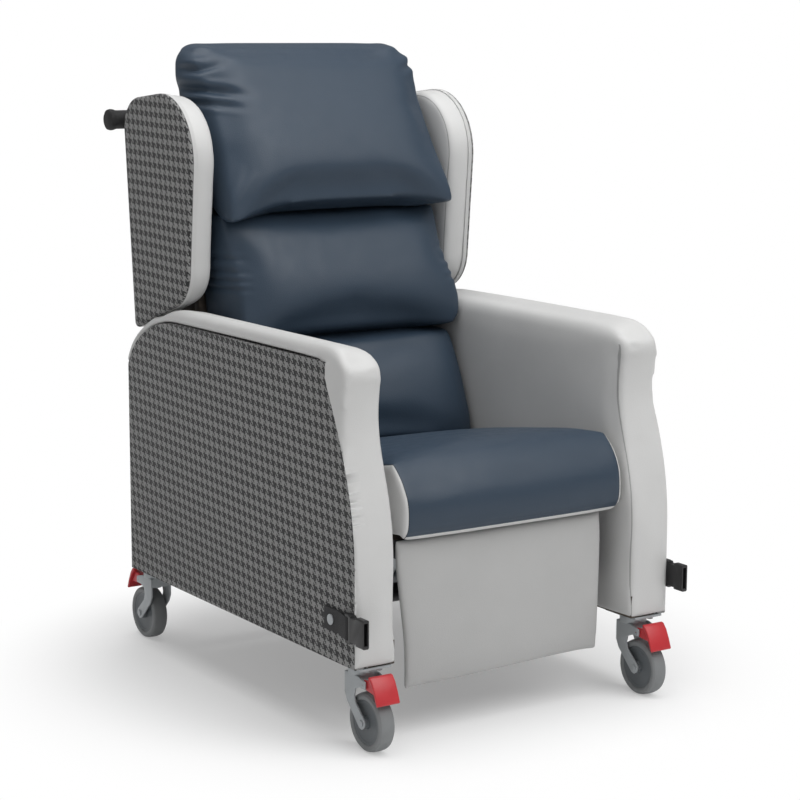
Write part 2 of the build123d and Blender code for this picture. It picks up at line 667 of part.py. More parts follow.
def castor_pedal():
    """Brake pedal: a sloping tread on two arms and a pin that turns in the fork's ears."""
    pivot_reach, pivot_height = pedal_pivot()
    top = (PEDAL_TOP_REACH, CASTOR_HEIGHT - PEDAL_TOP_DROP)
    tip = (PEDAL_TIP_REACH, CASTOR_HEIGHT - PEDAL_TIP_DROP)
    length = ((tip[0] - top[0]) ** 2 + (tip[1] - top[1]) ** 2) ** 0.5
    inward = ((tip[1] - top[1]) / length * PEDAL_THICKNESS, (top[0] - tip[0]) / length * PEDAL_THICKNESS)
    tread_points = (top, tip, (tip[0] + inward[0], tip[1] + inward[1]), (top[0] + inward[0], top[1] + inward[1]))
    pedal = castor_prism(tread_points, -FORK_OUTER, FORK_OUTER)
    middle = ((top[0] + tip[0] + inward[0]) / 2, (top[1] + tip[1] + inward[1]) / 2)
    arm_points = (
        (pivot_reach, pivot_height + PEDAL_EAR_RADIUS),
        (top[0] + inward[0] / 2, top[1] + inward[1] / 2),
        middle,
        (pivot_reach, pivot_height - PEDAL_EAR_RADIUS),
    )
    arm_outer = FORK_INNER - FACE_GAP
    for low, high in ((-arm_outer, PEDAL_ARM_WALL - arm_outer), (arm_outer - PEDAL_ARM_WALL, arm_outer)):
        pedal += castor_prism(arm_points, low, high)
        pedal += castor_rod(PEDAL_EAR_RADIUS, low, high, pivot_reach, pivot_height)
    return pedal + castor_rod(PEDAL_PIN_RADIUS, -FORK_OUTER, FORK_OUTER, pivot_reach, pivot_height)


def castor_place(side, end):
    """Where a castor stands, turned so that the front pair trails forwards and the rear pair backwards."""
    turn = 0 if end < 0 else 180
    return Pos(side * WHEEL_TRACK_HALF, at(castor_axis(end), 0)[0], 0) * Rot(0, 0, turn)


# Seat


def seat_board():
    """Plywood seat held between the two side frames."""
    front = SEAT_BOARD_FRONT_DEPTH
    back = SEAT_BACK_DEPTH
    drop = SEAT_BOARD_THICKNESS / cos(radians(SEAT_FOOT_SLOPE))
    points = ((front, seat_foot(front)), (back, seat_foot(back)))
    points += ((back, seat_foot(back) - drop), (front, seat_foot(front) - drop))
    return prism(outline(*points), -ARM_BOARD_INNER, ARM_BOARD_INNER)


def seat_section(x, crown, draw):
    """Side section of the seat cushion: waterfall front, crowned top, flat underside."""
    foot_front = at(draw, seat_foot(draw))
    nose = at(SEAT_NOSE_DEPTH + draw, SEAT_NOSE_HEIGHT)
    front_top = at(SEAT_FRONT_TOP_DEPTH, SEAT_FRONT_TOP_HEIGHT + crown / 2)
    middle_depth = (SEAT_FRONT_TOP_DEPTH + SEAT_BACK_DEPTH) / 2
    top_middle = at(middle_depth, seat_top(middle_depth) + crown)
    top_back = at(SEAT_BACK_DEPTH, SEAT_BACK_TOP_HEIGHT - CUSHION_CLEARANCE)
    foot_back = at(SEAT_BACK_DEPTH, seat_foot(SEAT_BACK_DEPTH))
    edges = [
        ThreePointArc(foot_front, nose, front_top),
        ThreePointArc(front_top, top_middle, top_back),
        Line(top_back, foot_back),
        Line(foot_back, foot_front),
    ]
    return Plane.YZ.offset(x) * make_face(edges)


def seat_cushion():
    """Seat cushion, crowned across its width, with drawn-in flat sides."""
    half = SEAT_HALF_WIDTH
    sections = [
        seat_section(-half, SEAT_SIDE_CROWN, SEAT_SIDE_DRAW),
        seat_section(-half / 2, SEAT_CROWN, 0),
        seat_section(half / 2, SEAT_CROWN, 0),
        seat_section(half, SEAT_SIDE_CROWN, SEAT_SIDE_DRAW),
    ]
    return loft(sections)


# Back


def back_side():
    """Plywood side of the back, with the bore that turns on the pivot pin."""
    points = (
        (board_back(BACK_BOARD_FOOT_HEIGHT), BACK_BOARD_FOOT_HEIGHT),
        (board_back(BACK_TOP_HEIGHT), BACK_TOP_HEIGHT),
        (rear_inner(BACK_TOP_HEIGHT), BACK_TOP_HEIGHT),
        (rear_inner(REAR_PANEL_FOOT_HEIGHT), REAR_PANEL_FOOT_HEIGHT),
        (rear_inner(REAR_PANEL_FOOT_HEIGHT), BACK_SIDE_FOOT_HEIGHT),
        (BACK_SIDE_FOOT_DEPTH, BACK_SIDE_FOOT_HEIGHT),
        (BACK_SIDE_FOOT_DEPTH, BACK_BOARD_FOOT_HEIGHT),
    )
    inner = BACK_HALF_WIDTH - BACK_SIDE_THICKNESS
    board = prism(outline(*points), inner, BACK_HALF_WIDTH)
    bore = BACK_PIVOT_RADIUS + RUN_CLEARANCE
    return board - rod_across(bore, inner, BACK_HALF_WIDTH, BACK_PIVOT_DEPTH, BACK_PIVOT_HEIGHT)


def back_board():
    """Plywood board behind the cushions."""
    low = BACK_BOARD_FOOT_HEIGHT
    high = BACK_TOP_HEIGHT
    points = ((board_face(low), low), (board_face(high), high), (board_back(high), high), (board_back(low), low))
    return prism(outline(*points), -BACK_HALF_WIDTH, BACK_HALF_WIDTH)


def rear_panel():
    """Outer back, folded forwards over the top of the back."""
    low = REAR_PANEL_FOOT_HEIGHT
    high = BACK_TOP_HEIGHT
    cap = high + REAR_PANEL_THICKNESS
    points = (
        (rear_inner(low), low),
        (rear_inner(high), high),
        (board_face(high), high),
        (board_face(cap), cap),
        (rear_face(cap), cap),
        (rear_face(low), low),
    )
    return prism(outline(*points), -BACK_HALF_WIDTH, BACK_HALF_WIDTH)


def wing_edges():
    """Outline of a wing: leaning rear edge, round top, upright front, sloping foot."""
    corners = (WING_FOOT_BACK, WING_TOP_BACK, WING_TOP_FRONT, WING_FOOT_FRONT)
    return FilletPolyline(*[at(*corner) for corner in corners], radius=WING_CORNER_ROUNDS, close=True)


def wing_pad():
    """Padded wing with a block behind the cushions that is screwed to the side of the back."""
    seam = WING_OUTER - WING_PANEL_THICKNESS
    pad = prism(wing_edges(), WING_INNER, seam)
    rim = pad.edges().filter_by(lambda edge: abs(edge.center().X - WING_INNER) < FACE_GAP)
    pad = fillet(rim, WING_ROUND)
    low = WING_BLOCK_FOOT_HEIGHT
    high = WING_BLOCK_TOP_HEIGHT
    points = ((board_back(low), low), (board_back(high), high), (rear_inner(high), high), (rear_inner(low), low))
    return pad + prism(outline(*points), BACK_HALF_WIDTH, WING_INNER + WING_ROUND)


def wing_panel():
    """Cloth-covered outer side of a wing."""
    panel = prism(wing_edges(), WING_OUTER - WING_PANEL_THICKNESS, WING_OUTER)
    rim = panel.edges().filter_by(lambda edge: abs(edge.center().X - WING_OUTER) < FACE_GAP)
    return fillet(rim, WING_PANEL_ROUND)


def cushion_section(x, padding, foot_height, top_height, share):
    """Side section of a back cushion: padding is its foot, top and bulge, share is how full it is there."""
    foot_thickness, top_thickness, bulge = padding
    rear_low = board_face(foot_height) - CUSHION_CLEARANCE
    rear_high = board_face(top_height) - CUSHION_CLEARANCE
    foot_depth = rear_low - foot_thickness * share
    top_depth = rear_high - top_thickness * share
    middle_height = (foot_height + top_height) / 2
    middle_depth = (foot_depth + top_depth) / 2 - bulge * share
    face = ThreePointArc(at(foot_depth, foot_height), at(middle_depth, middle_height), at(top_depth, top_height))
    edges = [
        face,
        Line(at(top_depth, top_height), at(rear_high, top_height)),
        Line(at(rear_high, top_height), at(rear_low, foot_height)),
        Line(at(rear_low, foot_height), at(foot_depth, foot_height)),
    ]
    return Plane.YZ.offset(x) * make_face(edges)


def back_cushion(padding, end_fullness, foot_height, top_height):
    """Back cushion, full in the middle and drawn in at both sides."""
    sections = []
    for station in CUSHION_STATIONS:
        share = 1 - (1 - end_fullness) * station ** 4
        x = station * CUSHION_HALF_WIDTH
        sections.append(cushion_section(x, padding, foot_height, top_height, share))
    return loft(sections)


def head_cushion():
    """Head cushion, deep at its foot and standing above the back."""
    padding = (HEAD_FOOT_THICKNESS, HEAD_TOP_THICKNESS, HEAD_BULGE)
    return back_cushion(padding, HEAD_END_FULLNESS, HEAD_FOOT_HEIGHT, HEAD_TOP_HEIGHT)


def middle_cushion():
    """Middle cushion under the head cushion."""
    padding = (MIDDLE_FOOT_THICKNESS, MIDDLE_TOP_THICKNESS, MIDDLE_BULGE)
    top = HEAD_FOOT_HEIGHT - CUSHION_GAP
    return back_cushion(padding, MIDDLE_END_FULLNESS, MIDDLE_FOOT_HEIGHT, top)


def lumbar_cushion():
    """Lumbar cushion, cut along the seat's slope below."""
    padding = (LUMBAR_FOOT_THICKNESS, LUMBAR_TOP_THICKNESS, LUMBAR_BULGE)
    top = MIDDLE_FOOT_HEIGHT - CUSHION_GAP
    cushion = back_cushion(padding, LUMBAR_END_FULLNESS, SEAT_BACK_TOP_HEIGHT, top)
    return cushion - seat_swell()


def seat_swell():
    """Seat cushion's space with the gap that a back cushion keeps from it."""
    return Pos(0, 0, CUSHION_CLEARANCE + SOFT_GAP) * seat_cushion()


def back_pivot_pin():
    """Flanged pin in the right side frame that the back turns on."""
    inner = BACK_HALF_WIDTH - BACK_SIDE_THICKNESS
    place = (BACK_PIVOT_DEPTH, BACK_PIVOT_HEIGHT)
    pin = rod_across(BACK_PIVOT_RADIUS, inner, ARM_BOARD_INNER + BACK_PIVOT_GRIP, *place)
    flange_start = ARM_BOARD_INNER - BACK_PIVOT_FLANGE_THICKNESS
    return pin + rod_across(BACK_PIVOT_FLANGE_RADIUS, flange_start, ARM_BOARD_INNER, *place)


# Push bar


def push_bar():
    """Steel bar on two stems with flanges that lie on the rear panel."""
    bar_end = GRIP_OUTER_OFFSET - GRIP_END_WALL
    bar = rod_across(PUSH_BAR_RADIUS, -bar_end, bar_end, PUSH_BAR_DEPTH, PUSH_BAR_HEIGHT)
    y, z = at(PUSH_BAR_DEPTH, PUSH_BAR_HEIGHT)
    low_end = (Align.CENTER, Align.CENTER, Align.MIN)
    for x in (-PUSH_STEM_OFFSET, PUSH_STEM_OFFSET):
        stem_place = Pos(x, y, z) * Rot(90 - REAR_PANEL_LEAN, 0, 0)
        bar += stem_place * Cylinder(PUSH_BAR_RADIUS, PUSH_BAR_STANDOFF, align=low_end)
        flange_place = stem_place * Pos(0, 0, PUSH_BAR_STANDOFF - PUSH_FLANGE_THICKNESS)
        bar += flange_place * Cylinder(PUSH_FLANGE_RADIUS, PUSH_FLANGE_THICKNESS, align=low_end)
    return bar


def push_grip():
    """Foam grip over the right end of the bar, rounded at its closed end."""
    place = (PUSH_BAR_DEPTH, PUSH_BAR_HEIGHT)
    grip = rod_across(GRIP_RADIUS, GRIP_INNER_OFFSET, GRIP_OUTER_OFFSET, *place)
    end_edges = grip.edges().filter_by(GeomType.CIRCLE).sort_by(Axis.X)[-1:]
    grip = fillet(end_edges, GRIP_END_ROUND)
    bar_end = GRIP_OUTER_OFFSET - GRIP_END_WALL
    return grip - rod_across(PUSH_BAR_RADIUS, GRIP_INNER_OFFSET, bar_end, *place)


# Struts


def crank_pin_place(swing):
    """Depth and height of the recline crank's pin at an angle from straight down, towards the back."""
    angle = radians(swing)
    return (BACK_PIVOT_DEPTH + CRANK_RADIUS * sin(angle), BACK_PIVOT_HEIGHT - CRANK_RADIUS * cos(angle))


def crank_bounds():
    """Widths between which the recline crank's plate lies, on the inner face of the left side of the back."""
    plate_low = BACK_SIDE_THICKNESS - BACK_HALF_WIDTH
    return (plate_low, plate_low + CRANK_THICKNESS)


def recline_x():
    """Middle width of the recline strut."""
    return crank_bounds()[1] + FACE_GAP + STRUT_EYE_WIDTH / 2


def recline_crank():
    """Steel crank on the left side of the back, with the pin that drives the recline strut."""
    low, high = crank_bounds()
    pin_depth, pin_height = crank_pin_place(CRANK_HALF_TRAVEL)
    half = CRANK_WIDTH / 2
    points = (
        (BACK_PIVOT_DEPTH + CRANK_TOP_REACH, BACK_SIDE_FOOT_HEIGHT + CRANK_WIDTH + half),
        (BACK_PIVOT_DEPTH + half, BACK_SIDE_FOOT_HEIGHT + CRANK_WIDTH + half),
        (BACK_PIVOT_DEPTH + half, BACK_SIDE_FOOT_HEIGHT),
        (pin_depth - half, pin_height),
        (pin_depth + half, pin_height),
        (BACK_PIVOT_DEPTH + CRANK_FOOT_REACH, BACK_SIDE_FOOT_HEIGHT),
    )
    crank = prism(outline(*points), low, high)
    crank += rod_across(half, low, high, pin_depth, pin_height)
    pin_end = recline_x() + STRUT_EYE_WIDTH / 2 + FACE_GAP
    return crank + rod_across(CRANK_PIN_RADIUS, high, pin_end, pin_depth, pin_height)


def strut_clamp(x):
    """Ring that holds a strut on the middle cross tube."""
    low = x - STRUT_CLAMP_WIDTH / 2
    high = x + STRUT_CLAMP_WIDTH / 2
    outer = CROSS_TUBE_RADIUS + STRUT_CLAMP_WALL
    ring = rod_across(outer, low, high, CROSS_MIDDLE_DEPTH, STRUT_HEIGHT)
    return ring, rod_across(CROSS_TUBE_RADIUS, low, high, CROSS_MIDDLE_DEPTH, STRUT_HEIGHT)


def recline_cylinder():
    """Gas strut cylinder from the middle cross tube back towards the crank."""
    x = recline_x()
    ring, tube = strut_clamp(x)
    end = RECLINE_CYLINDER_END_DEPTH
    start = CROSS_MIDDLE_DEPTH + CROSS_TUBE_RADIUS + STRUT_CLAMP_WALL / 2
    body = ring + rod_along(STRUT_RADIUS, x, start, end, STRUT_HEIGHT)
    bore = STRUT_ROD_RADIUS + SLIDE_CLEARANCE
    return body - tube - rod_along(bore, x, end - RECLINE_BORE_LENGTH, end, STRUT_HEIGHT)


def recline_rod():
    """Strut rod whose eye goes round the crank pin with room for the pin's arc."""
    x = recline_x()
    pin_depth = crank_pin_place(CRANK_HALF_TRAVEL)[0]
    arc = CRANK_RADIUS * (1 - cos(radians(CRANK_HALF_TRAVEL))) / 2
    hole = CRANK_PIN_RADIUS + arc + FACE_GAP
    low = x - STRUT_EYE_WIDTH / 2
    high = x + STRUT_EYE_WIDTH / 2
    rod = rod_along(STRUT_ROD_RADIUS, x, RECLINE_CYLINDER_END_DEPTH - ROD_TAIL_LENGTH, pin_depth, STRUT_HEIGHT)
    rod += rod_across(hole + STRUT_EYE_WALL, low, high, pin_depth, STRUT_HEIGHT)
    return rod - rod_across(hole, low, high, pin_depth, STRUT_HEIGHT)


def legrest_pin_place():
    """Depth and height of the legrest crank's pin at rest."""
    angle = radians(LEGREST_TRAVEL / 2)
    depth = LEGREST_PIVOT_DEPTH + LEGREST_CRANK_RADIUS * sin(angle)
    return (depth, LEGREST_PIVOT_HEIGHT - LEGREST_CRANK_RADIUS * cos(angle))


def legrest_strut_x():
    """Middle width of the legrest strut, beside the right legrest arm."""
    return LEGREST_ARM_OFFSET + LEGREST_ARM_THICKNESS / 2 + FACE_GAP + STRUT_EYE_WIDTH / 2


def legrest_cylinder():
    """Gas strut cylinder from the middle cross tube forwards to the legrest."""
    x = legrest_strut_x()
    ring, tube = strut_clamp(x)
    end = LEGREST_CYLINDER_END_DEPTH
    start = CROSS_MIDDLE_DEPTH - CROSS_TUBE_RADIUS - STRUT_CLAMP_WALL / 2
    body = ring + rod_along(STRUT_RADIUS, x, end, start, STRUT_HEIGHT)
    bore = STRUT_ROD_RADIUS + SLIDE_CLEARANCE
    return body - tube - rod_along(bore, x, end, end + LEGREST_BORE_LENGTH, STRUT_HEIGHT)


def legrest_rod():
    """Strut rod with a slotted yoke that the legrest crank's pin rises and falls in."""
    x = legrest_strut_x()
    pin_depth = legrest_pin_place()[0]
    rise = LEGREST_CRANK_RADIUS * (1 - cos(radians(LEGREST_TRAVEL / 2))) / 2
    slot_half_depth = CRANK_PIN_RADIUS + LEGREST_YOKE_SLACK
    slot_half_height = CRANK_PIN_RADIUS + rise + FACE_GAP
    low = x - STRUT_EYE_WIDTH / 2
    high = x + STRUT_EYE_WIDTH / 2
    outer_depth = slot_half_depth + STRUT_EYE_WALL
    outer_height = slot_half_height + STRUT_EYE_WALL
    rod = rod_along(STRUT_ROD_RADIUS, x, pin_depth, LEGREST_CYLINDER_END_DEPTH + ROD_TAIL_LENGTH, STRUT_HEIGHT)
    rod += block(low, high, pin_depth - outer_depth, pin_depth + outer_depth, STRUT_HEIGHT - outer_height,
                 STRUT_HEIGHT + outer_height)
    return rod - block(low, high, pin_depth - slot_half_depth, pin_depth + slot_half_depth,
                       STRUT_HEIGHT - slot_half_height, STRUT_HEIGHT + slot_half_height)


# Legrest


def legrest_section(x, crown):
    """Side section of the legrest pad with a full front and a rounded top."""
    front = LEGREST_FRONT_DEPTH
    back = front + LEGREST_PAD_THICKNESS
    low = LEGREST_FOOT_HEIGHT
    high = LEGREST_TOP_HEIGHT
    middle = (low + high) / 2
    edge = front + LEGREST_CROWN
    edges = [
        ThreePointArc(at(edge, low), at(edge - crown, middle), at(edge, high)),
        Line(at(edge, high), at(back, high)),
        Line(at(back, high), at(back, low)),
        Line(at(back, low), at(edge, low)),
    ]
    return Plane.YZ.offset(x) * make_face(edges)


def legrest_pad():
    """Padded legrest panel that hangs under the front of the seat."""
    half = LEGREST_HALF_WIDTH
    sections = [
        legrest_section(-half, LEGREST_SIDE_CROWN),
        legrest_section(-half / 2, LEGREST_CROWN),
        legrest_section(half / 2, LEGREST_CROWN),
        legrest_section(half, LEGREST_SIDE_CROWN),
    ]
    return loft(sections)


def legrest_board():
    """Board behind the legrest pad."""
    half = LEGREST_HALF_WIDTH - LEGREST_BOARD_MARGIN
    front = LEGREST_FRONT_DEPTH + LEGREST_PAD_THICKNESS
    back = front + LEGREST_BOARD_THICKNESS
    low = LEGREST_FOOT_HEIGHT + LEGREST_BOARD_MARGIN
    return block(-half, half, front, back, low, LEGREST_BOARD_TOP_HEIGHT)


def legrest_arm(x):
    """Steel strap on the legrest board, with the hinge eye and a crank with its pin."""
    low = x - LEGREST_ARM_THICKNESS / 2
    high = x + LEGREST_ARM_THICKNESS / 2
    front = LEGREST_FRONT_DEPTH + LEGREST_PAD_THICKNESS + LEGREST_BOARD_THICKNESS
    back = front + LEGREST_ARM_DEPTH
    pivot = (LEGREST_PIVOT_DEPTH, LEGREST_PIVOT_HEIGHT)
    pin = legrest_pin_place()
    strap = block(low, high, front, back, LEGREST_ARM_FOOT_HEIGHT, LEGREST_PIVOT_HEIGHT)
    crank_points = (
        (front, LEGREST_PIVOT_HEIGHT),
        (back, LEGREST_PIVOT_HEIGHT + LEGREST_EYE_RADIUS / 2),
        (pin[0] + LEGREST_EYE_RADIUS, pin[1]),
        (pin[0] - LEGREST_EYE_RADIUS, pin[1]),
        (front, LEGREST_PIVOT_HEIGHT - LEGREST_CRANK_RADIUS / 2),
    )
    arm = strap + prism(outline(*crank_points), low, high)
    arm += rod_across(LEGREST_EYE_RADIUS, low, high, *pivot)
    arm += rod_across(LEGREST_EYE_RADIUS, low, high, *pin)
    pin_end = high + STRUT_EYE_WIDTH + 2 * FACE_GAP
    arm += rod_across(CRANK_PIN_RADIUS, high, pin_end, *pin)
    return arm - rod_across(LEGREST_PIN_RADIUS + RUN_CLEARANCE, low, high, *pivot)


def legrest_bracket(x):
    """Bracket under the seat board with the pin that a legrest arm turns on."""
    high = x - LEGREST_ARM_THICKNESS / 2 - FACE_GAP
    low = high - LEGREST_BRACKET_THICKNESS
    front = SEAT_BOARD_FRONT_DEPTH
    back = LEGREST_BRACKET_BACK_DEPTH
    drop = SEAT_BOARD_THICKNESS / cos(radians(SEAT_FOOT_SLOPE))
    eye = LEGREST_EYE_RADIUS
    points = (
        (LEGREST_PIVOT_DEPTH, LEGREST_PIVOT_HEIGHT - eye),
        (back, LEGREST_PIVOT_HEIGHT - eye),
        (back, seat_foot(back) - drop),
        (front, seat_foot(front) - drop),
        (front, LEGREST_PIVOT_HEIGHT + eye),
        (LEGREST_PIVOT_DEPTH, LEGREST_PIVOT_HEIGHT + eye),
    )
    bracket = prism(outline(*points), low, high)
    pivot = (LEGREST_PIVOT_DEPTH, LEGREST_PIVOT_HEIGHT)
    bracket += rod_across(eye, low, high, *pivot)
    return bracket + rod_across(LEGREST_PIN_RADIUS, high, x + LEGREST_ARM_THICKNESS / 2, *pivot)


# Buckles


def buckle():
    """Female half of a side-release buckle on the right, hung on its bar."""
    half_height = BUCKLE_HEIGHT / 2
    half_thick = BUCKLE_THICKNESS / 2
    start = BUCKLE_BODY_START
    mid = BUCKLE_MID_HEIGHT
    x = BUCKLE_BAR_X
    body = block(x - half_thick, x + half_thick, -BUCKLE_LENGTH, -start, mid - half_height, mid + half_height)
    body = fillet(body.edges().filter_by(Axis.Y), half_thick / 2)
    mouth_half = BUCKLE_MOUTH_GAP / 2
    mouth_end = BUCKLE_MOUTH_DEEP - BUCKLE_LENGTH
    body -= block(x - mouth_half, x + mouth_half, -BUCKLE_LENGTH, mouth_end, mid - BUCKLE_MOUTH_HEIGHT / 2,
                  mid + BUCKLE_MOUTH_HEIGHT / 2)
    window_front = BUCKLE_WINDOW_START - BUCKLE_LENGTH
    window_back = window_front + BUCKLE_WINDOW_LENGTH
    for low, high in (
        (mid - half_height, mid - half_height + BUCKLE_WINDOW_DEEP),
        (mid + half_height - BUCKLE_WINDOW_DEEP, mid + half_height),
    ):
        body -= block(x - half_thick, x + half_thick, window_front, window_back, low, high)
    cheek_inner = STRAP_HEIGHT / 2 + FACE_GAP
    for low, high in ((mid - half_height, mid - cheek_inner), (mid + cheek_inner, mid + half_height)):
        cheek_half = BUCKLE_CHEEK_RADIUS
        cheek = block(x - cheek_half, x + cheek_half, -start, 0, low, high)
        cheek += Pos(x, at(0, 0)[0], low) * Cylinder(
            cheek_half, high - low, align=(Align.CENTER, Align.CENTER, Align.MIN))
        body += cheek
    return body + Pos(x, at(0, 0)[0], mid) * Cylinder(BUCKLE_BAR_RADIUS, BUCKLE_HEIGHT)


def strap():
    """Webbing folded round the buckle's bar and lying doubled on the outer panel."""
    low = BUCKLE_MID_HEIGHT - STRAP_HEIGHT / 2
    high = BUCKLE_MID_HEIGHT + STRAP_HEIGHT / 2
    inner = ARM_OUTER
    thick = STRAP_THICKNESS
    loop_inner = BUCKLE_BAR_RADIUS + SOFT_GAP
    loop_outer = loop_inner + thick
    far = BUCKLE_BAR_X + loop_inner
    web = block(inner, inner + thick, 0, STRAP_LENGTH, low, high)
    web += block(inner + thick, inner + 2 * thick, STRAP_JOIN, STRAP_LENGTH, low, high)
    loop_place = Pos(BUCKLE_BAR_X, at(0, 0)[0], BUCKLE_MID_HEIGHT)
    loop = loop_place * (Cylinder(loop_outer, STRAP_HEIGHT) - Cylinder(loop_inner, STRAP_HEIGHT))
    web += loop - block(inner, far + thick, 0, STRAP_LENGTH, low, high)
    y_loop = at(0, 0)[0]
    y_join = at(STRAP_JOIN, 0)[0]
    slope_points = (
        (far, y_loop), (far + thick, y_loop), (inner + 2 * thick, y_join), (inner + thick, y_join))
    slope = Plane.XY.offset(low) * make_face(Polyline(*slope_points, close=True))
    web += extrude(slope, high - low, dir=(0, 0, 1))
    hole_end = inner + 2 * thick
    return web - rod_across(RIVET_RADIUS, inner, hole_end, RIVET_DEPTH, BUCKLE_MID_HEIGHT)


def strap_rivet():
    """Rivet and washer that hold the right strap on the outer panel."""
    seat = ARM_OUTER + 2 * STRAP_THICKNESS
    shank = rod_across(RIVET_RADIUS, ARM_OUTER - RIVET_LENGTH, seat, RIVET_DEPTH, BUCKLE_MID_HEIGHT)
    washer_end = seat + RIVET_WASHER_THICKNESS
    return shank + rod_across(RIVET_WASHER_RADIUS, seat, washer_end, RIVET_DEPTH, BUCKLE_MID_HEIGHT)


# Write the pieces


def save(name, *solids):
    """Write one piece, or one group of alike pieces, under its name."""
    shape = solids[0] if len(solids) == 1 else Compound(children=list(solids))
    export_step(shape, f"parts/{name}.step")


def save_pair(name, right_solid):
    """Write a handed piece for both sides."""
    save(f"right_{name}", right_solid)
    save(f"left_{name}", mirrored(right_solid))


def save_castors():
    """Write the four castors, each in its own pieces."""
    makers = {
        "castor_fork": castor_fork(),
        "castor_axle": castor_axle(),
        "castor_hub": castor_hub(),
        "castor_tyre": castor_tyre(),
        "brake_pedal": castor_pedal(),
    }
    plates = []
    bolts = []
    for end, end_name in ((-1, "front"), (1, "rear")):
        for side, side_name in ((-1, "left"), (1, "right")):
            place = castor_place(side, end)
            for name, solid in makers.items():
                save(f"{end_name}_{side_name}_{name}", place * solid)
            plates.append(place * castor_plate())
    for side in (-1, 1):
        bolts += [place * castor_bolt() for place in castor_bolt_places(side)]
    save("castor_plates", *plates)
    save("castor_bolts", *bolts)


def main():
    os.makedirs("parts", exist_ok=True)
    save_pair("side_frame", side_frame())
    save_pair("outer_panel", outer_panel())
    save_pair("arm_facing", arm_facing())
    save_pair("arm_pad", arm_pad())
    save("cross_tubes", *[cross_tube(*place) for place in cross_places()])
    save("cross_bolts", *cross_bolts())
    save_castors()
    save("seat_board", seat_board())
    save("seat_cushion", seat_cushion())
    back_board_side = back_side()
    save("back_sides", back_board_side, mirrored(back_board_side))
    save("back_board", back_board())
    save("rear_panel", rear_panel())
    save_pair("wing_pad", wing_pad())
    save_pair("wing_panel", wing_panel())
    save("head_cushion", head_cushion())
    save("middle_cushion", middle_cushion())
    save("lumbar_cushion", lumbar_cushion())
    pivot_pin = back_pivot_pin()
    save("back_pivot_pins", pivot_pin, mirrored(pivot_pin))
    save("push_bar", push_bar())
    grip = push_grip()
    save("push_grips", grip, mirrored(grip))
    save("recline_crank", recline_crank())
    save("recline_cylinder", recline_cylinder())
    save("recline_rod", recline_rod())
    save("legrest_cylinder", legrest_cylinder())
    save("legrest_rod", legrest_rod())
    save("legrest_pad", legrest_pad())
    save("legrest_board", legrest_board())
    save("legrest_arms", legrest_arm(LEGREST_ARM_OFFSET), legrest_arm(-LEGREST_ARM_OFFSET))
    save("legrest_brackets", legrest_bracket(LEGREST_ARM_OFFSET), legrest_bracket(-LEGREST_ARM_OFFSET))
    save_pair("buckle", buckle())
    web = strap()
    save("buckle_straps", web, mirrored(web))
    rivet = strap_rivet()
    save("strap_rivets", rivet, mirrored(rivet))


main()
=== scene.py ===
import json
from math import cos, pi, radians, sin, tan

import bmesh
import bpy
import numpy as np
from mathutils import Matrix, Vector


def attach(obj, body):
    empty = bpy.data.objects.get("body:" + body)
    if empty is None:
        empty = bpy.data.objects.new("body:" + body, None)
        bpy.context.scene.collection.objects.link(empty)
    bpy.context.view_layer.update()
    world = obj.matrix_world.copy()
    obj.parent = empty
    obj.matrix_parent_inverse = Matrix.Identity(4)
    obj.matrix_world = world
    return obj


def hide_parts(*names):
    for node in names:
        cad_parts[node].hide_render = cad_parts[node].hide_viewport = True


# Wheeled recliner chair: navy vinyl cushions, grey vinyl arms and wings, houndstooth cloth outside.
# Metres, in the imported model's frame. A depth runs backwards from where the front tyres meet the floor.

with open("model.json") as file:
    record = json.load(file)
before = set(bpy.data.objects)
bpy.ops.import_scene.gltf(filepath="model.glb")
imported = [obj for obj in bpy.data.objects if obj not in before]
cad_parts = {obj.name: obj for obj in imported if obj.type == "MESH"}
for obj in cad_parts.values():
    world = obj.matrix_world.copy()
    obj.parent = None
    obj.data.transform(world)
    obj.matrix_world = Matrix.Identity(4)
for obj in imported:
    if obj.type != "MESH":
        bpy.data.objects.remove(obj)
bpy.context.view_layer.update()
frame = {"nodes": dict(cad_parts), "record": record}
scene = bpy.context.scene
record = frame["record"]
body_of_node = {}
for body_name, members in record["behaviour"]["bodies"].items():
    for member in members:
        body_of_node[member] = body_name
slot_of_node = {part["node"]: part["material_slot"] for part in record["subparts"]}

# Places shared with the solids
DEPTH_CENTRE = 0.40825
WHEEL_TRACK_HALF = 0.2874
WHEEL_RADIUS = 0.05
CASTOR_TRAIL = 0.03
FRONT_SWIVEL_DEPTH = 0.03
REAR_SWIVEL_DEPTH = 0.77
ARM_INNER = 0.246
ARM_OUTER = 0.3268
ARM_PANEL_TOP = 0.640
WING_INNER = 0.254
SEAT_SHIFT = 0.006
SEAT_SEAM = 0.2205
SEAT_FOOT_HEIGHT = 0.348
SEAT_FOOT_SLOPE = tan(radians(4.8))
CUSHION_HALF_WIDTH = 0.238
GRIP_INNER = 0.175
GRIP_OUTER = 0.334
PUSH_BAR_DEPTH = 0.852
PUSH_BAR_HEIGHT = 0.998
REAR_LEAN = radians(6.3)

# Making
MERGE_DISTANCE = 0.00002
FLAT_ANGLE = radians(0.02)
SHARP_ANGLE = radians(32)
TINY = 1e-9

# Soft skins
SWELL_FRAMES = 20
CLOTH_PRESSURE = 4.0
CLOTH_QUALITY = 4
CLOTH_STIFFNESS = 5.0
EVENING_PASSES = 24
SAG_REACH = 0.11
SAG_NEAR = 0.04
SAG_FAR = 0.13
FOLD_LIP = 0.4
# Brings the deepest place of a crease to its full depth
CREASE_PEAK = 2.6
# Depths over which a gather fades out along a cushion's side
GATHER_FADE = (0.680, 0.740)
LEAST_SLANT = 0.05


def spot(x, depth, height):
    """Point in the model's frame from a width, a depth and a height."""
    return Vector((x, depth - DEPTH_CENTRE, height))


# Mesh helpers


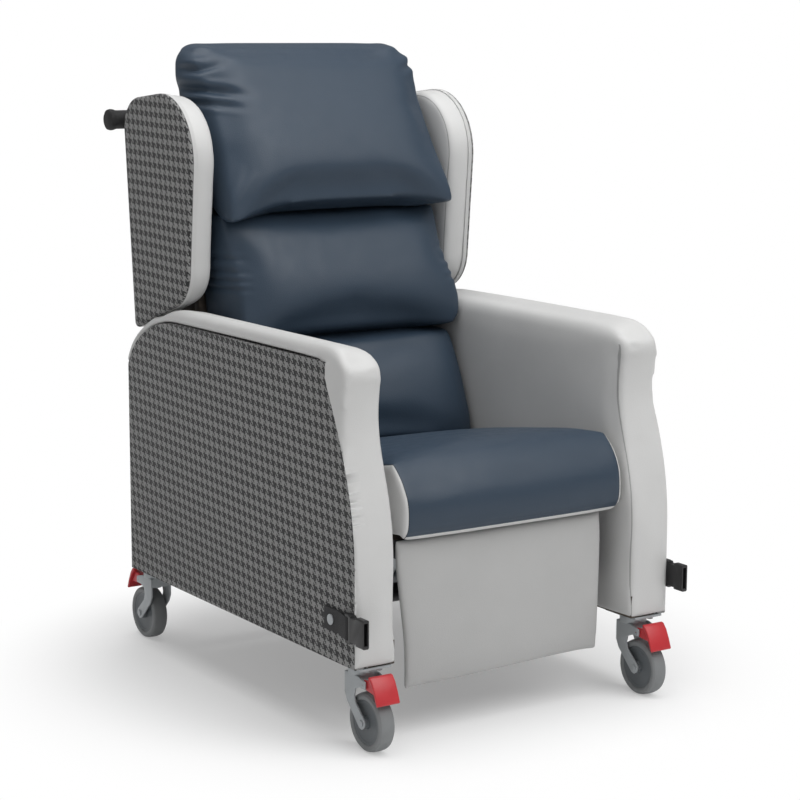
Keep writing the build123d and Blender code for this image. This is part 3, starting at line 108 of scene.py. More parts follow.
def merged_copy(*nodes):
    """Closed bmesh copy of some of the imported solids."""
    shape = bmesh.new()
    for node in nodes:
        shape.from_mesh(frame["nodes"][node].data)
    bmesh.ops.remove_doubles(shape, verts=shape.verts, dist=MERGE_DISTANCE)
    return shape


def round_sharp_edges(shape, width, segments):
    """Round the edges that are too sharp to be part of a smooth surface."""
    sharp = [edge for edge in shape.edges if edge.is_manifold and edge.calc_face_angle(0) > SHARP_ANGLE]
    bmesh.ops.bevel(shape, geom=sharp, offset=width, affect="EDGES", segments=segments, profile=0.5,
                    material=-1, clamp_overlap=True)


def ease_edges(shape, width, segments=2):
    """Join flat triangles and round the sharp edges that are left."""
    bmesh.ops.dissolve_limit(shape, angle_limit=FLAT_ANGLE, verts=shape.verts, edges=shape.edges)
    round_sharp_edges(shape, width, segments)


def make_piece(name, shape, material):
    """Object with a finished mesh, smooth apart from its sharp edges."""
    mesh = bpy.data.meshes.new(name)
    shape.to_mesh(mesh)
    shape.free()
    piece = bpy.data.objects.new(name, mesh)
    scene.collection.objects.link(piece)
    mesh.materials.append(material)
    mesh.shade_smooth()
    mesh.set_sharp_from_angle(angle=SHARP_ANGLE)
    return piece


def dress(piece, *nodes):
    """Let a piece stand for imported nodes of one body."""
    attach(piece, body_of_node[nodes[0]])
    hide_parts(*nodes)


def settled_mesh(piece):
    """The piece's mesh with its modifiers made real."""
    piece.data = bpy.data.meshes.new_from_object(piece.evaluated_get(bpy.context.evaluated_depsgraph_get()))
    piece.modifiers.clear()


def points_of(mesh):
    """Vertex places of a mesh as rows."""
    values = np.empty(len(mesh.vertices) * 3)
    mesh.vertices.foreach_get("co", values)
    return values.reshape(-1, 3)


def normals_of(mesh):
    """Vertex normals of a mesh as rows."""
    values = np.empty(len(mesh.vertices) * 3)
    mesh.vertex_normals.foreach_get("vector", values)
    return values.reshape(-1, 3)


def move_points(mesh, points):
    """Give a mesh new vertex places."""
    mesh.vertices.foreach_set("co", points.ravel())
    mesh.update()


# Soft pieces


def soft_skin(name, shape, material, voxel, smoothing):
    """Even quad skin round a closed shape, ready to be swelled."""
    piece = make_piece(name, shape, material)
    remesh = piece.modifiers.new("even_skin", "REMESH")
    remesh.mode = "VOXEL"
    remesh.voxel_size = voxel
    settled_mesh(piece)
    piece.data.shade_smooth()
    relax(piece, smoothing)
    return piece


def evened(mesh, field, passes):
    """Average a value of each point with its neighbours' a number of times."""
    ends = np.empty(len(mesh.edges) * 2, np.int64)
    mesh.edges.foreach_get("vertices", ends)
    first, second = ends.reshape(-1, 2).T
    count = len(mesh.vertices)
    degree = np.maximum(np.bincount(first, minlength=count) + np.bincount(second, minlength=count), 1)
    for _ in range(passes):
        columns = []
        for column in field.T:
            around = np.bincount(first, column[second], count) + np.bincount(second, column[first], count)
            columns.append((column + around / degree) / 2)
        field = np.stack(columns, axis=1)
    return field


def relax(piece, passes, chosen=None):
    """Even out the small bumps of a soft skin, or of the chosen points on it."""
    shape = bmesh.new()
    shape.from_mesh(piece.data)
    verts = shape.verts if chosen is None else [vert for vert in shape.verts if chosen[vert.index]]
    for _ in range(passes):
        bmesh.ops.smooth_vert(shape, verts=verts, factor=0.5, use_axis_x=True, use_axis_y=True,
                              use_axis_z=True)
    shape.to_mesh(piece.data)
    shape.free()


def swell(piece, inset, cap, held):
    """Draw a skin in, fill it by pressure, cap how far each point may move and even out the moves."""
    mesh = piece.data
    flat = points_of(mesh)
    normals = normals_of(mesh)
    loose = ~held(flat, normals)
    start = flat - normals * inset * loose[:, None]
    move_points(mesh, start)
    fixed = piece.vertex_groups.new(name="held")
    fixed.add([int(index) for index in np.nonzero(~loose)[0]], 1.0, "REPLACE")
    cloth = piece.modifiers.new("swell", "CLOTH")
    cloth.settings.use_pressure = True
    cloth.settings.uniform_pressure_force = CLOTH_PRESSURE
    cloth.settings.effector_weights.gravity = 0
    cloth.settings.vertex_group_mass = "held"
    cloth.settings.quality = CLOTH_QUALITY
    cloth.settings.bending_stiffness = CLOTH_STIFFNESS
    cloth.collision_settings.use_collision = False
    cloth.point_cache.frame_start = 1
    cloth.point_cache.frame_end = SWELL_FRAMES
    for number in range(1, SWELL_FRAMES + 1):
        scene.frame_set(number)
    settled_mesh(piece)
    scene.frame_set(1)
    moved = points_of(piece.data) - start
    length = np.linalg.norm(moved, axis=1)
    share = np.minimum(1, cap / np.maximum(length, TINY))
    change = start + moved * share[:, None] - flat
    move_points(piece.data, flat + evened(piece.data, change, EVENING_PASSES))


def subdivided(piece):
    """Make one level of subdivision real."""
    smooth = piece.modifiers.new("smooth", "SUBSURF")
    smooth.levels = 1
    smooth.render_levels = 1
    settled_mesh(piece)


def rise(values, low, high):
    """Smooth step from 0 at low to 1 at high."""
    share = np.clip((values - low) / (high - low), 0, 1)
    return share * share * (3 - 2 * share)


def fold_section(gap):
    """Depth of a fold at a gap from its line, counted in its widths, with a low lip on either side."""
    return np.exp(-gap ** 2) - FOLD_LIP * np.exp(-(gap - 2) ** 2)


def crease(piece, start, end, width, depth):
    """Pull a soft surface in along a line, deepest at a third of its length."""
    points = points_of(piece.data)
    start = np.array(start)
    line = np.array(end) - start
    share = np.clip((points - start) @ line / (line @ line), 0, 1)
    gap = np.linalg.norm(points - (start + share[:, None] * line), axis=1)
    fade = CREASE_PEAK * np.sqrt(share) * (1 - share)
    inset = depth * fade * fold_section(gap / width)
    move_points(piece.data, points - normals_of(piece.data) * inset[:, None])


def gather(piece, side, height, slope, reach, width, depth):
    """Fold a cushion in along a line that runs round one of its sides and fades out across its front."""
    points = points_of(piece.data)
    inward = CUSHION_HALF_WIDTH - side * points[:, 0]
    gap = np.abs(points[:, 2] - height - slope * np.maximum(inward, 0)) / width
    fade = (1 - rise(inward, 0, reach)) * (1 - rise(points[:, 1] + DEPTH_CENTRE, *GATHER_FADE))
    inset = depth * fade * fold_section(gap)
    move_points(piece.data, points - normals_of(piece.data) * inset[:, None])


def sag(piece, middle, left, right):
    """Let the lower lip of a back cushion hang, by a drop in the middle and one at either end."""
    points = points_of(piece.data)
    foot = points[:, 2].min()
    face = points[:, 1].min()
    side = points[:, 0] / CUSHION_HALF_WIDTH
    ends = np.where(side < 0, left, right)
    drop = middle + (ends - middle) * np.minimum(side * side, 1)
    share = 1 - rise(points[:, 2], foot, foot + SAG_REACH)
    ahead = 1 - rise(points[:, 1], face + SAG_NEAR, face + SAG_FAR)
    points[:, 2] -= drop * share * ahead
    move_points(piece.data, points)


def belly(piece, height, reach, amount):
    """Push the front of a back cushion forwards round a height, less towards its ends."""
    points = points_of(piece.data)
    ahead = np.clip(-normals_of(piece.data)[:, 1], 0, 1)
    side = np.clip(points[:, 0] / CUSHION_HALF_WIDTH, -1, 1)
    points[:, 1] -= amount * ahead * (1 - side ** 4) * np.exp(-((points[:, 2] - height) / reach) ** 2)
    move_points(piece.data, points)


def refit(piece, half_width, top):
    """Stretch a relaxed cushion back to its width and height."""
    points = points_of(piece.data)
    points[:, 0] *= half_width / np.abs(points[:, 0]).max()
    foot = points[:, 2].min()
    points[:, 2] = foot + (points[:, 2] - foot) * (top - foot) / (points[:, 2].max() - foot)
    move_points(piece.data, points)


def pull(piece, place, reach, move):
    """Draw a soft piece out round a place."""
    points = points_of(piece.data)
    gap = np.linalg.norm(points - np.array(place), axis=1)
    move_points(piece.data, points + np.exp(-(gap / reach) ** 2)[:, None] * np.array(move))


def round_corners(piece, half_width, height, reach):
    """Round both corners of a cushion seen from the front, at a height that its reach leads up or down to."""
    points = points_of(piece.data)
    across = np.clip((np.abs(points[:, 0]) - half_width) / abs(reach) + 1, 0, None)
    upward = np.clip((points[:, 2] - height) / reach + 1, 0, None)
    longest = np.maximum(across, upward)
    share = np.where(longest > 0, longest / np.maximum(np.hypot(across, upward), TINY), 1) - 1
    points[:, 0] += np.sign(points[:, 0]) * across * share * abs(reach)
    points[:, 2] += upward * share * reach
    move_points(piece.data, points)


def other_side(piece, name, material):
    """Mirror copy of a left piece for the right side."""
    shape = bmesh.new()
    shape.from_mesh(piece.data)
    bmesh.ops.scale(shape, vec=(-1, 1, 1), verts=shape.verts)
    bmesh.ops.reverse_faces(shape, faces=shape.faces)
    return make_piece(name, shape, material)


def lay_sheet(piece, outward):
    """Store each point's place on the flat cloth, edges unfolded, and how far it lies below the face."""
    mesh = piece.data
    points = points_of(mesh)
    normals = normals_of(mesh)
    outward = np.array(outward)
    level = points @ outward
    drop = level.max() - level
    sideways = normals - (normals @ outward)[:, None] * outward
    length = np.maximum(np.linalg.norm(sideways, axis=1), LEAST_SLANT)
    flat = points + sideways / length[:, None] * drop[:, None]
    mesh.attributes.new("sheet", "FLOAT_VECTOR", "POINT").data.foreach_set("vector", flat.ravel())
    mesh.attributes.new("rim", "FLOAT", "POINT").data.foreach_set("value", drop)


# Material helpers

CLOUD_LOW = 0.3
CLOUD_HIGH = 0.7
# Sockets of a Mix node that carry colours
FIRST_COLOUR = 6
SECOND_COLOUR = 7
MIXED_COLOUR = 2


def start_material(name, roughness, metallic=0.0):
    """Material with its node tree, its shader and the piece's own coordinates."""
    material = bpy.data.materials.new(name)
    material.use_nodes = True
    tree = material.node_tree
    shader = tree.nodes["Principled BSDF"]
    shader.inputs["Roughness"].default_value = roughness
    shader.inputs["Metallic"].default_value = metallic
    place = tree.nodes.new("ShaderNodeTexCoord").outputs["Object"]
    return material, tree, shader, place


def plug(tree, value, socket):
    """Feed a socket from another socket or a plain value."""
    if isinstance(value, bpy.types.NodeSocket):
        tree.links.new(value, socket)
    else:
        socket.default_value = value


def maths(tree, operation, first, second=0.0):
    """One step of arithmetic."""
    node = tree.nodes.new("ShaderNodeMath")
    node.operation = operation
    plug(tree, first, node.inputs[0])
    plug(tree, second, node.inputs[1])
    return node.outputs[0]


def along(tree, place, direction):
    """Distance along a direction, in the direction's own units."""
    node = tree.nodes.new("ShaderNodeVectorMath")
    node.operation = "DOT_PRODUCT"
    plug(tree, place, node.inputs[0])
    node.inputs[1].default_value = direction
    return node.outputs["Value"]


def noise(tree, place, scale, detail=3.0):
    """Cloudy value between 0 and 1."""
    node = tree.nodes.new("ShaderNodeTexNoise")
    plug(tree, place, node.inputs["Vector"])
    node.inputs["Scale"].default_value = scale
    node.inputs["Detail"].default_value = detail
    return node.outputs["Fac"]


def cells(tree, place, scale):
    """Pebbled value: the distance to the nearest cell's middle."""
    node = tree.nodes.new("ShaderNodeTexVoronoi")
    node.feature = "SMOOTH_F1"
    plug(tree, place, node.inputs["Vector"])
    node.inputs["Scale"].default_value = scale
    return node.outputs["Distance"]


def blend_colours(tree, share, low, high):
    """Colour between two colours or colour sockets."""
    node = tree.nodes.new("ShaderNodeMix")
    node.data_type = "RGBA"
    plug(tree, share, node.inputs["Factor"])
    for value, socket in ((low, node.inputs[FIRST_COLOUR]), (high, node.inputs[SECOND_COLOUR])):
        plug(tree, value if isinstance(value, bpy.types.NodeSocket) else (*value, 1), socket)
    return node.outputs[MIXED_COLOUR]


def spread(tree, value, low, high):
    """Stretch a value from the middle of its range onto low to high."""
    node = tree.nodes.new("ShaderNodeMapRange")
    plug(tree, value, node.inputs["Value"])
    node.inputs["From Min"].default_value = CLOUD_LOW
    node.inputs["From Max"].default_value = CLOUD_HIGH
    node.inputs["To Min"].default_value = low
    node.inputs["To Max"].default_value = high
    return node.outputs["Result"]


def relief(tree, shader, height, distance):
    """Bump on the shader from a height between 0 and 1."""
    node = tree.nodes.new("ShaderNodeBump")
    node.inputs["Strength"].default_value = 1.0
    node.inputs["Distance"].default_value = distance
    plug(tree, height, node.inputs["Height"])
    tree.links.new(node.outputs["Normal"], shader.inputs["Normal"])


def near(tree, value, level, width):
    """1 on a level, 0 beyond half a width from it."""
    gap = maths(tree, "ABSOLUTE", maths(tree, "SUBTRACT", value, level))
    return maths(tree, "LESS_THAN", gap, width / 2)


def darker(colour, share):
    """A colour at a share of its brightness."""
    return tuple(channel * share for channel in colour)


def toned(tree, cloud, colour, tones):
    """A colour that drifts between two shares of its brightness."""
    return blend_colours(tree, cloud, darker(colour, tones[0]), darker(colour, tones[1]))


# Vinyl

NAVY = (0.029, 0.047, 0.072)
GREY = (0.565, 0.565, 0.560)
# Share of the grey left on the legrest: painted shade for the seat's shadow falling on it
LEGREST_PAINTED_SHADE = 0.76
VINYL_ROUGHNESS = (0.40, 0.50)
VINYL_SPECULAR = 0.36
VINYL_WAVE_SCALE = 35
VINYL_CLOUD_SCALE = 9
VINYL_TONES = (0.93, 1.05)
GRAIN_SCALE = 760
GRAIN_HEIGHT = 1.2
GRAIN_DEPTH = 0.00016
SEAM_WIDTH = 0.0012
SEAM_SHADE = 0.6
SEAM_SINK = 3.0
DEEP_SEAM_SHADE = 0.3
DEEP_SEAM_SINK = 4.0
WING_SEAM = WING_INNER + 0.0035
ARM_SEAM = ARM_INNER + 0.0042
ARM_SEAM_DEPTH = 0.062
ARM_SEAM_TOP = 0.628
SEAT_BORDER_TOP = 0.001


def start_vinyl(name):
    """Coated vinyl with slow waves in its roughness, and the height of its fine pebbled grain."""
    material, tree, shader, place = start_material(name, sum(VINYL_ROUGHNESS) / 2)
    grain = maths(tree, "MULTIPLY", cells(tree, place, GRAIN_SCALE), GRAIN_HEIGHT)
    wave = spread(tree, noise(tree, place, VINYL_WAVE_SCALE), *VINYL_ROUGHNESS)
    tree.links.new(wave, shader.inputs["Roughness"])
    shader.inputs["Specular IOR Level"].default_value = VINYL_SPECULAR
    return material, tree, shader, place, grain


def vinyl(name, colour, seam_line=None):
    """Coated vinyl; seam_line builds a mask of sewn lines from the tree and the coordinates."""
    material, tree, shader, place, grain = start_vinyl(name)
    tone = toned(tree, noise(tree, place, VINYL_CLOUD_SCALE), colour, VINYL_TONES)
    if seam_line:
        mask = seam_line(tree, place)
        tone = blend_colours(tree, mask, tone, darker(colour, SEAM_SHADE))
        grain = maths(tree, "SUBTRACT", grain, maths(tree, "MULTIPLY", mask, SEAM_SINK))
    tree.links.new(tone, shader.inputs["Base Color"])
    relief(tree, shader, grain, GRAIN_DEPTH)
    return material


def width_from(tree, place, middle):
    """Distance sideways from a middle plane."""
    return maths(tree, "ABSOLUTE", maths(tree, "SUBTRACT", along(tree, place, (1, 0, 0)), middle))


def wing_seam(tree, place):
    """Sewn line round the inner rim of a wing."""
    return near(tree, width_from(tree, place, 0.0), WING_SEAM, SEAM_WIDTH)


def arm_seam(tree, place):
    """Sewn line down the arm's inner front corner."""
    corner = near(tree, width_from(tree, place, 0.0), ARM_SEAM, SEAM_WIDTH)
    in_front = maths(tree, "LESS_THAN", along(tree, place, (0, 1, 0)), ARM_SEAM_DEPTH - DEPTH_CENTRE)
    below_top = maths(tree, "LESS_THAN", along(tree, place, (0, 0, 1)), ARM_SEAM_TOP)
    return maths(tree, "MULTIPLY", corner, maths(tree, "MULTIPLY", in_front, below_top))


def seat_vinyl():
    """Navy top and front, a grey border below them, and grey side gussets behind a sewn line."""
    material, tree, shader, place, grain = start_vinyl("seat_vinyl")
    width = width_from(tree, place, SEAT_SHIFT)
    on_side = maths(tree, "GREATER_THAN", width, SEAT_SEAM)
    border_top = SEAT_FOOT_HEIGHT + SEAT_BORDER_TOP - DEPTH_CENTRE * SEAT_FOOT_SLOPE
    on_border = maths(tree, "LESS_THAN", along(tree, place, (0, SEAT_FOOT_SLOPE, 1)), border_top)
    cloud = noise(tree, place, VINYL_CLOUD_SCALE)
    navy = toned(tree, cloud, NAVY, VINYL_TONES)
    grey = toned(tree, cloud, GREY, VINYL_TONES)
    tone = blend_colours(tree, maths(tree, "MAXIMUM", on_side, on_border), navy, grey)
    line = near(tree, width, SEAT_SEAM, SEAM_WIDTH)
    tone = blend_colours(tree, line, tone, darker(NAVY, DEEP_SEAM_SHADE))
    tree.links.new(tone, shader.inputs["Base Color"])
    sunk = maths(tree, "SUBTRACT", grain, maths(tree, "MULTIPLY", line, DEEP_SEAM_SINK))
    relief(tree, shader, sunk, GRAIN_DEPTH)
    return material


# Houndstooth cloth

CHECK_REPEAT = 0.0185
CHECK_THREADS = 8
TWILL_THREADS = 4
THREADS = CHECK_THREADS / CHECK_REPEAT
SIDE_WARP = (0, -THREADS * 0.98, THREADS * 0.12)
SIDE_WEFT = (0, -THREADS * 0.03, THREADS)
BACK_WARP = (THREADS, 0, 0)
BACK_WEFT = (0, 0, THREADS)
LIGHT_YARN = ((0.19, 0.19, 0.188), (0.34, 0.34, 0.336))
DARK_YARN = ((0.020, 0.020, 0.021), (0.048, 0.048, 0.050))
YARN_SCALE = 900
YARN_DETAIL = 4
YARN_FUZZ = 0.6
THREAD_DEPTH = 0.0004
CLOTH_ROUGHNESS = 0.85
CLOTH_SHEEN = 0.15
CLOTH_SPECULAR = 0.2
WING_CLOTH_RIM = 0.006


def stored(tree, name, output):
    """Value stored on the mesh."""
    node = tree.nodes.new("ShaderNodeAttribute")
    node.attribute_name = name
    return node.outputs[output]


def in_first_half(tree, count, repeat):
    """1 on the first half of each repeat, 0 on the second."""
    return maths(tree, "LESS_THAN", maths(tree, "FLOORED_MODULO", count, repeat), repeat / 2)


def thread_crown(tree, thread_place):
    """Rounded height across a thread."""
    return maths(tree, "SINE", maths(tree, "MULTIPLY", maths(tree, "FRACT", thread_place), pi))


def houndstooth(name, warp_across, weft_across, rim=None):
    """Two-tone cloth in a four-and-four check, woven two over two; the vectors count threads along the cloth.

    Beyond a rim depth below the face the cloth gives way to the grey vinyl it is sewn to.
    """
    material, tree, shader, _ = start_material(name, CLOTH_ROUGHNESS)
    place = stored(tree, "sheet", "Vector")
    warp_place = along(tree, place, warp_across)
    weft_place = along(tree, place, weft_across)
    warp = maths(tree, "FLOOR", warp_place)
    weft = maths(tree, "FLOOR", weft_place)
    warp_up = in_first_half(tree, maths(tree, "ADD", warp, weft), TWILL_THREADS)
    weft_up = maths(tree, "SUBTRACT", 1.0, warp_up)

    def on_top(of_warp, of_weft):
        """The warp's value where the warp lies on top, and the weft's elsewhere."""
        shown_warp = maths(tree, "MULTIPLY", warp_up, of_warp)
        return maths(tree, "ADD", shown_warp, maths(tree, "MULTIPLY", weft_up, of_weft))

    dark = on_top(in_first_half(tree, warp, CHECK_THREADS), in_first_half(tree, weft, CHECK_THREADS))
    fibre = noise(tree, place, YARN_SCALE, YARN_DETAIL)
    light_tone = blend_colours(tree, fibre, *LIGHT_YARN)
    dark_tone = blend_colours(tree, fibre, *DARK_YARN)
    tone = blend_colours(tree, dark, light_tone, dark_tone)
    if rim:
        below = stored(tree, "rim", "Fac")
        tone = blend_colours(tree, maths(tree, "GREATER_THAN", below, rim), tone, GREY)
        tone = blend_colours(tree, near(tree, below, rim, SEAM_WIDTH), tone, darker(GREY, DEEP_SEAM_SHADE))
    tree.links.new(tone, shader.inputs["Base Color"])
    shader.inputs["Sheen Weight"].default_value = CLOTH_SHEEN
    shader.inputs["Specular IOR Level"].default_value = CLOTH_SPECULAR
    crown = on_top(thread_crown(tree, warp_place), thread_crown(tree, weft_place))
    relief(tree, shader, maths(tree, "ADD", crown, maths(tree, "MULTIPLY", fibre, YARN_FUZZ)), THREAD_DEPTH)
    return material


# Timber, metal, plastic and webbing

TIMBER_ROUGHNESS = 0.6
TIMBER_STRETCH = (60, 4, 60)
TIMBER_TONES = ((0.030, 0.022, 0.016), (0.070, 0.052, 0.038))
TIMBER_DEPTH = 0.0006
METAL_TONES = (0.86, 1.1)
METAL_GLOSS = (0.85, 1.2)
METAL_SKIN_SCALE = 1800
METAL_SKIN_DEPTH = 0.00006
PLASTIC_TONES = (0.9, 1.1)
PLASTIC_GLOSS = (0.88, 1.12)
PLASTIC_CLOUD_SCALE = 40
WEBBING_ROUGHNESS = 0.75
WEBBING_RIB = 0.0024
WEBBING_PICK = 0.0016
WEBBING_TONES = ((0.010, 0.010, 0.011), (0.034, 0.034, 0.036))
WEBBING_DEPTH = 0.0005


def timber():
    """Dark-stained boards with long grain."""
    material, tree, shader, place = start_material("timber", TIMBER_ROUGHNESS)
    mapping = tree.nodes.new("ShaderNodeMapping")
    mapping.inputs["Scale"].default_value = TIMBER_STRETCH
    tree.links.new(place, mapping.inputs["Vector"])
    rings = noise(tree, mapping.outputs["Vector"], scale=1.0, detail=6)
    tone = blend_colours(tree, spread(tree, rings, 0.0, 1.0), *TIMBER_TONES)
    tree.links.new(tone, shader.inputs["Base Color"])
    relief(tree, shader, rings, TIMBER_DEPTH)
    return material


def metal(name, colour, roughness, metallic, scuff_scale):
    """Metal with a fine uneven skin and slight scuffs."""
    material, tree, shader, place = start_material(name, roughness, metallic)
    cloud = noise(tree, place, scuff_scale, detail=5)
    tree.links.new(toned(tree, cloud, colour, METAL_TONES), shader.inputs["Base Color"])
    gloss = spread(tree, cloud, *(roughness * share for share in METAL_GLOSS))
    tree.links.new(gloss, shader.inputs["Roughness"])
    relief(tree, shader, noise(tree, place, METAL_SKIN_SCALE, detail=2), METAL_SKIN_DEPTH)
    return material


def moulded(name, colour, roughness, texture_scale, depth):
    """Moulded plastic or rubber with a fine texture."""
    material, tree, shader, place = start_material(name, roughness)
    cloud = noise(tree, place, PLASTIC_CLOUD_SCALE, detail=4)
    tree.links.new(toned(tree, cloud, colour, PLASTIC_TONES), shader.inputs["Base Color"])
    gloss = spread(tree, cloud, *(roughness * share for share in PLASTIC_GLOSS))
    tree.links.new(gloss, shader.inputs["Roughness"])
    relief(tree, shader, noise(tree, place, texture_scale, detail=3), depth)
    return material


def webbing():
    """Black webbing with ribs along its length."""
    material, tree, shader, place = start_material("webbing", WEBBING_ROUGHNESS)
    height = along(tree, place, (0, 0, 1))
    depth = along(tree, place, (0, 1, 0))
    rib = maths(tree, "SINE", maths(tree, "MULTIPLY", height, 2 * pi / WEBBING_RIB))
    pick = maths(tree, "SINE", maths(tree, "MULTIPLY", depth, 2 * pi / WEBBING_PICK))
    weave = maths(tree, "MULTIPLY", rib, pick)
    share = maths(tree, "ADD", maths(tree, "MULTIPLY", weave, 0.5), 0.5)
    tree.links.new(blend_colours(tree, share, *WEBBING_TONES), shader.inputs["Base Color"])
    relief(tree, shader, share, WEBBING_DEPTH)
    return material


# Colour, roughness, share of metal and scale of the scuffs
METALS = {
    "black_steel": ((0.018, 0.018, 0.02), 0.42, 0.0, 60),
    "zinc_steel": ((0.36, 0.38, 0.393), 0.46, 0.35, 45),
    "polished_rod": ((0.72, 0.72, 0.73), 0.12, 1.0, 90),
}
# Colour, roughness, and scale and depth of the texture
PLASTICS = {
    "tyre_rubber": ((0.20, 0.208, 0.212), 0.62, 700, 0.0002),
    "hub_plastic": ((0.115, 0.127, 0.136), 0.5, 900, 0.0001),
    "pedal_plastic": ((0.48, 0.026, 0.033), 0.36, 1100, 0.00005),
    "black_foam": ((0.016, 0.016, 0.017), 0.8, 1500, 0.0004),
    "buckle_plastic": ((0.013, 0.013, 0.014), 0.42, 1300, 0.00008),
}
navy_vinyl = vinyl("navy_vinyl", NAVY)
wing_vinyl = vinyl("wing_vinyl", GREY, wing_seam)
arm_vinyl = vinyl("arm_vinyl", GREY, arm_seam)
# The legrest's grey vinyl, darkened as painted shade from the seat above it
legrest_vinyl_painted_shade = vinyl("legrest_vinyl_painted_shade", darker(GREY, LEGREST_PAINTED_SHADE))
side_cloth = houndstooth("side_houndstooth", SIDE_WARP, SIDE_WEFT)
wing_cloth = houndstooth("wing_houndstooth", SIDE_WARP, SIDE_WEFT, WING_CLOTH_RIM)
back_cloth = houndstooth("back_houndstooth", BACK_WARP, BACK_WEFT)
finish_of_slot = {"timber": timber(), "webbing": webbing()}
for slot, values in METALS.items():
    finish_of_slot[slot] = metal(slot, *values)
for slot, values in PLASTICS.items():
    finish_of_slot[slot] = moulded(slot, *values)


# Cushions

CUSHION_VOXEL = 0.006
THIN_VOXEL = 0.005
COVER_SMOOTHING = 4
STUFFED_SMOOTHING = 8
FACING_BACK = 0.8
FACING_DOWN = -0.85


def rests_behind(points, normals):
    """Rear faces of a cushion, which lie on its board."""
    return normals[:, 1] > FACING_BACK


def rests_below(points, normals):
    """Underside of the seat cushion, which lies on its board."""
    return normals[:, 2] < FACING_DOWN


def cushion(node, material, voxel):
    """Skin of a cushion before it is swelled."""
    return soft_skin(node + "_cover", merged_copy(node), material, voxel, COVER_SMOOTHING)


def stuff(piece, node, inset, cap, held):
    """Swell a cushion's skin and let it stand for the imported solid."""
    swell(piece, inset, cap, held)
    relax(piece, STUFFED_SMOOTHING)
    subdivided(piece)
    dress(piece, node)


head = cushion("head_cushion", navy_vinyl, CUSHION_VOXEL)
round_corners(head, half_width=CUSHION_HALF_WIDTH, height=1.136, reach=0.040)
belly(head, height=0.950, reach=0.095, amount=0.010)
sag(head, middle=0.006, left=0.026, right=0.010)
stuff(head, "head_cushion", inset=0.005, cap=0.016, held=rests_behind)
refit(head, half_width=0.246, top=1.141)
pull(head, spot(0.235, 0.540, 0.862), reach=0.075, move=(0.012, -0.016, -0.004))
pull(head, spot(-0.235, 0.545, 0.855), reach=0.070, move=(-0.008, -0.004, -0.010))
pull(head, spot(-0.240, 0.720, 1.090), reach=0.060, move=(-0.012, 0.008, 0.000))
middle = cushion("middle_cushion", navy_vinyl, CUSHION_VOXEL)
round_corners(middle, half_width=CUSHION_HALF_WIDTH, height=0.616, reach=-0.030)
belly(middle, height=0.690, reach=0.085, amount=0.012)
sag(middle, middle=0.013, left=0.015, right=0.015)
stuff(middle, "middle_cushion", inset=0.005, cap=0.014, held=rests_behind)
refit(middle, half_width=0.244, top=0.840)
pull(middle, spot(0.235, 0.530, 0.655), reach=0.080, move=(0.012, -0.016, 0.004))
pull(middle, spot(-0.240, 0.560, 0.680), reach=0.090, move=(0.010, 0.004, 0.000))
lumbar = cushion("lumbar_cushion", navy_vinyl, CUSHION_VOXEL)
stuff(lumbar, "lumbar_cushion", inset=0.004, cap=0.010, held=rests_behind)
refit(lumbar, half_width=0.241, top=0.609)
pull(lumbar, spot(0.235, 0.480, 0.435), reach=0.100, move=(0.004, -0.026, 0.000))
pull(lumbar, spot(0.235, 0.530, 0.530), reach=0.080, move=(0.003, -0.012, 0.000))
seat = cushion("seat_cushion", seat_vinyl(), CUSHION_VOXEL)
stuff(seat, "seat_cushion", inset=0.003, cap=0.008, held=rests_below)
refit(seat, half_width=0.236, top=0.481)
legrest = cushion("legrest_pad", legrest_vinyl_painted_shade, THIN_VOXEL)
stuff(legrest, "legrest_pad", inset=0.003, cap=0.005, held=rests_behind)
refit(legrest, half_width=0.199, top=0.338)

# Grey border under the seat's nose and the legrest's slack cover

SEAT_LEFT_DROP = 0.009
SEAT_LEFT_WIDTHS = (0.02, 0.23)
SEAT_LEFT_HEIGHTS = (0.375, 0.440)
SEAT_BORDER_DROP = 0.008
SEAT_BORDER_HEIGHTS = (SEAT_BORDER_TOP, 0.006)
SEAT_BORDER_FRONT = (0.000, 0.006)
SEAT_BORDER_BACK = (0.018, 0.026)
LEGREST_SIDES = (-0.15, 0.15)
LEGREST_SLACK = 1.02
LEGREST_FLARE = 0.015
LEGREST_LEFT_FLARE = 0.08
LEGREST_FLARE_HEIGHTS = (0.125, 0.330)
LEGREST_DROP = 0.004
LEGREST_LEFT_DROP = 0.007
LEGREST_FOOT_HEIGHTS = (0.090, 0.180)


def border_seat(piece):
    """Shift the seat to its place, let its left side sink, and draw its grey border down under the nose."""
    points = points_of(piece.data)
    points[:, 0] += SEAT_SHIFT
    on_left = rise(-points[:, 0], *SEAT_LEFT_WIDTHS)
    points[:, 2] -= SEAT_LEFT_DROP * on_left * rise(points[:, 2], *SEAT_LEFT_HEIGHTS)
    depth = points[:, 1] + DEPTH_CENTRE
    above_foot = points[:, 2] - SEAT_FOOT_HEIGHT + depth * SEAT_FOOT_SLOPE
    under_nose = rise(depth, *SEAT_BORDER_FRONT) * (1 - rise(depth, *SEAT_BORDER_BACK))
    points[:, 2] -= SEAT_BORDER_DROP * (1 - rise(above_foot, *SEAT_BORDER_HEIGHTS)) * under_nose
    move_points(piece.data, points)


def slacken_legrest(piece):
    """Widen the legrest's cover upwards, more on its left, and let its foot hang."""
    points = points_of(piece.data)
    on_left = 1 - rise(points[:, 0], *LEGREST_SIDES)
    flare = (LEGREST_FLARE + LEGREST_LEFT_FLARE * on_left) * rise(points[:, 2], *LEGREST_FLARE_HEIGHTS)
    points[:, 0] *= LEGREST_SLACK + flare
    at_foot = 1 - rise(points[:, 2], *LEGREST_FOOT_HEIGHTS)
    points[:, 2] -= (LEGREST_DROP + LEGREST_LEFT_DROP * on_left) * at_foot
    move_points(piece.data, points)


border_seat(seat)
slacken_legrest(legrest)

# Gathers at the head cushion's corners and along the middle cushion's sides

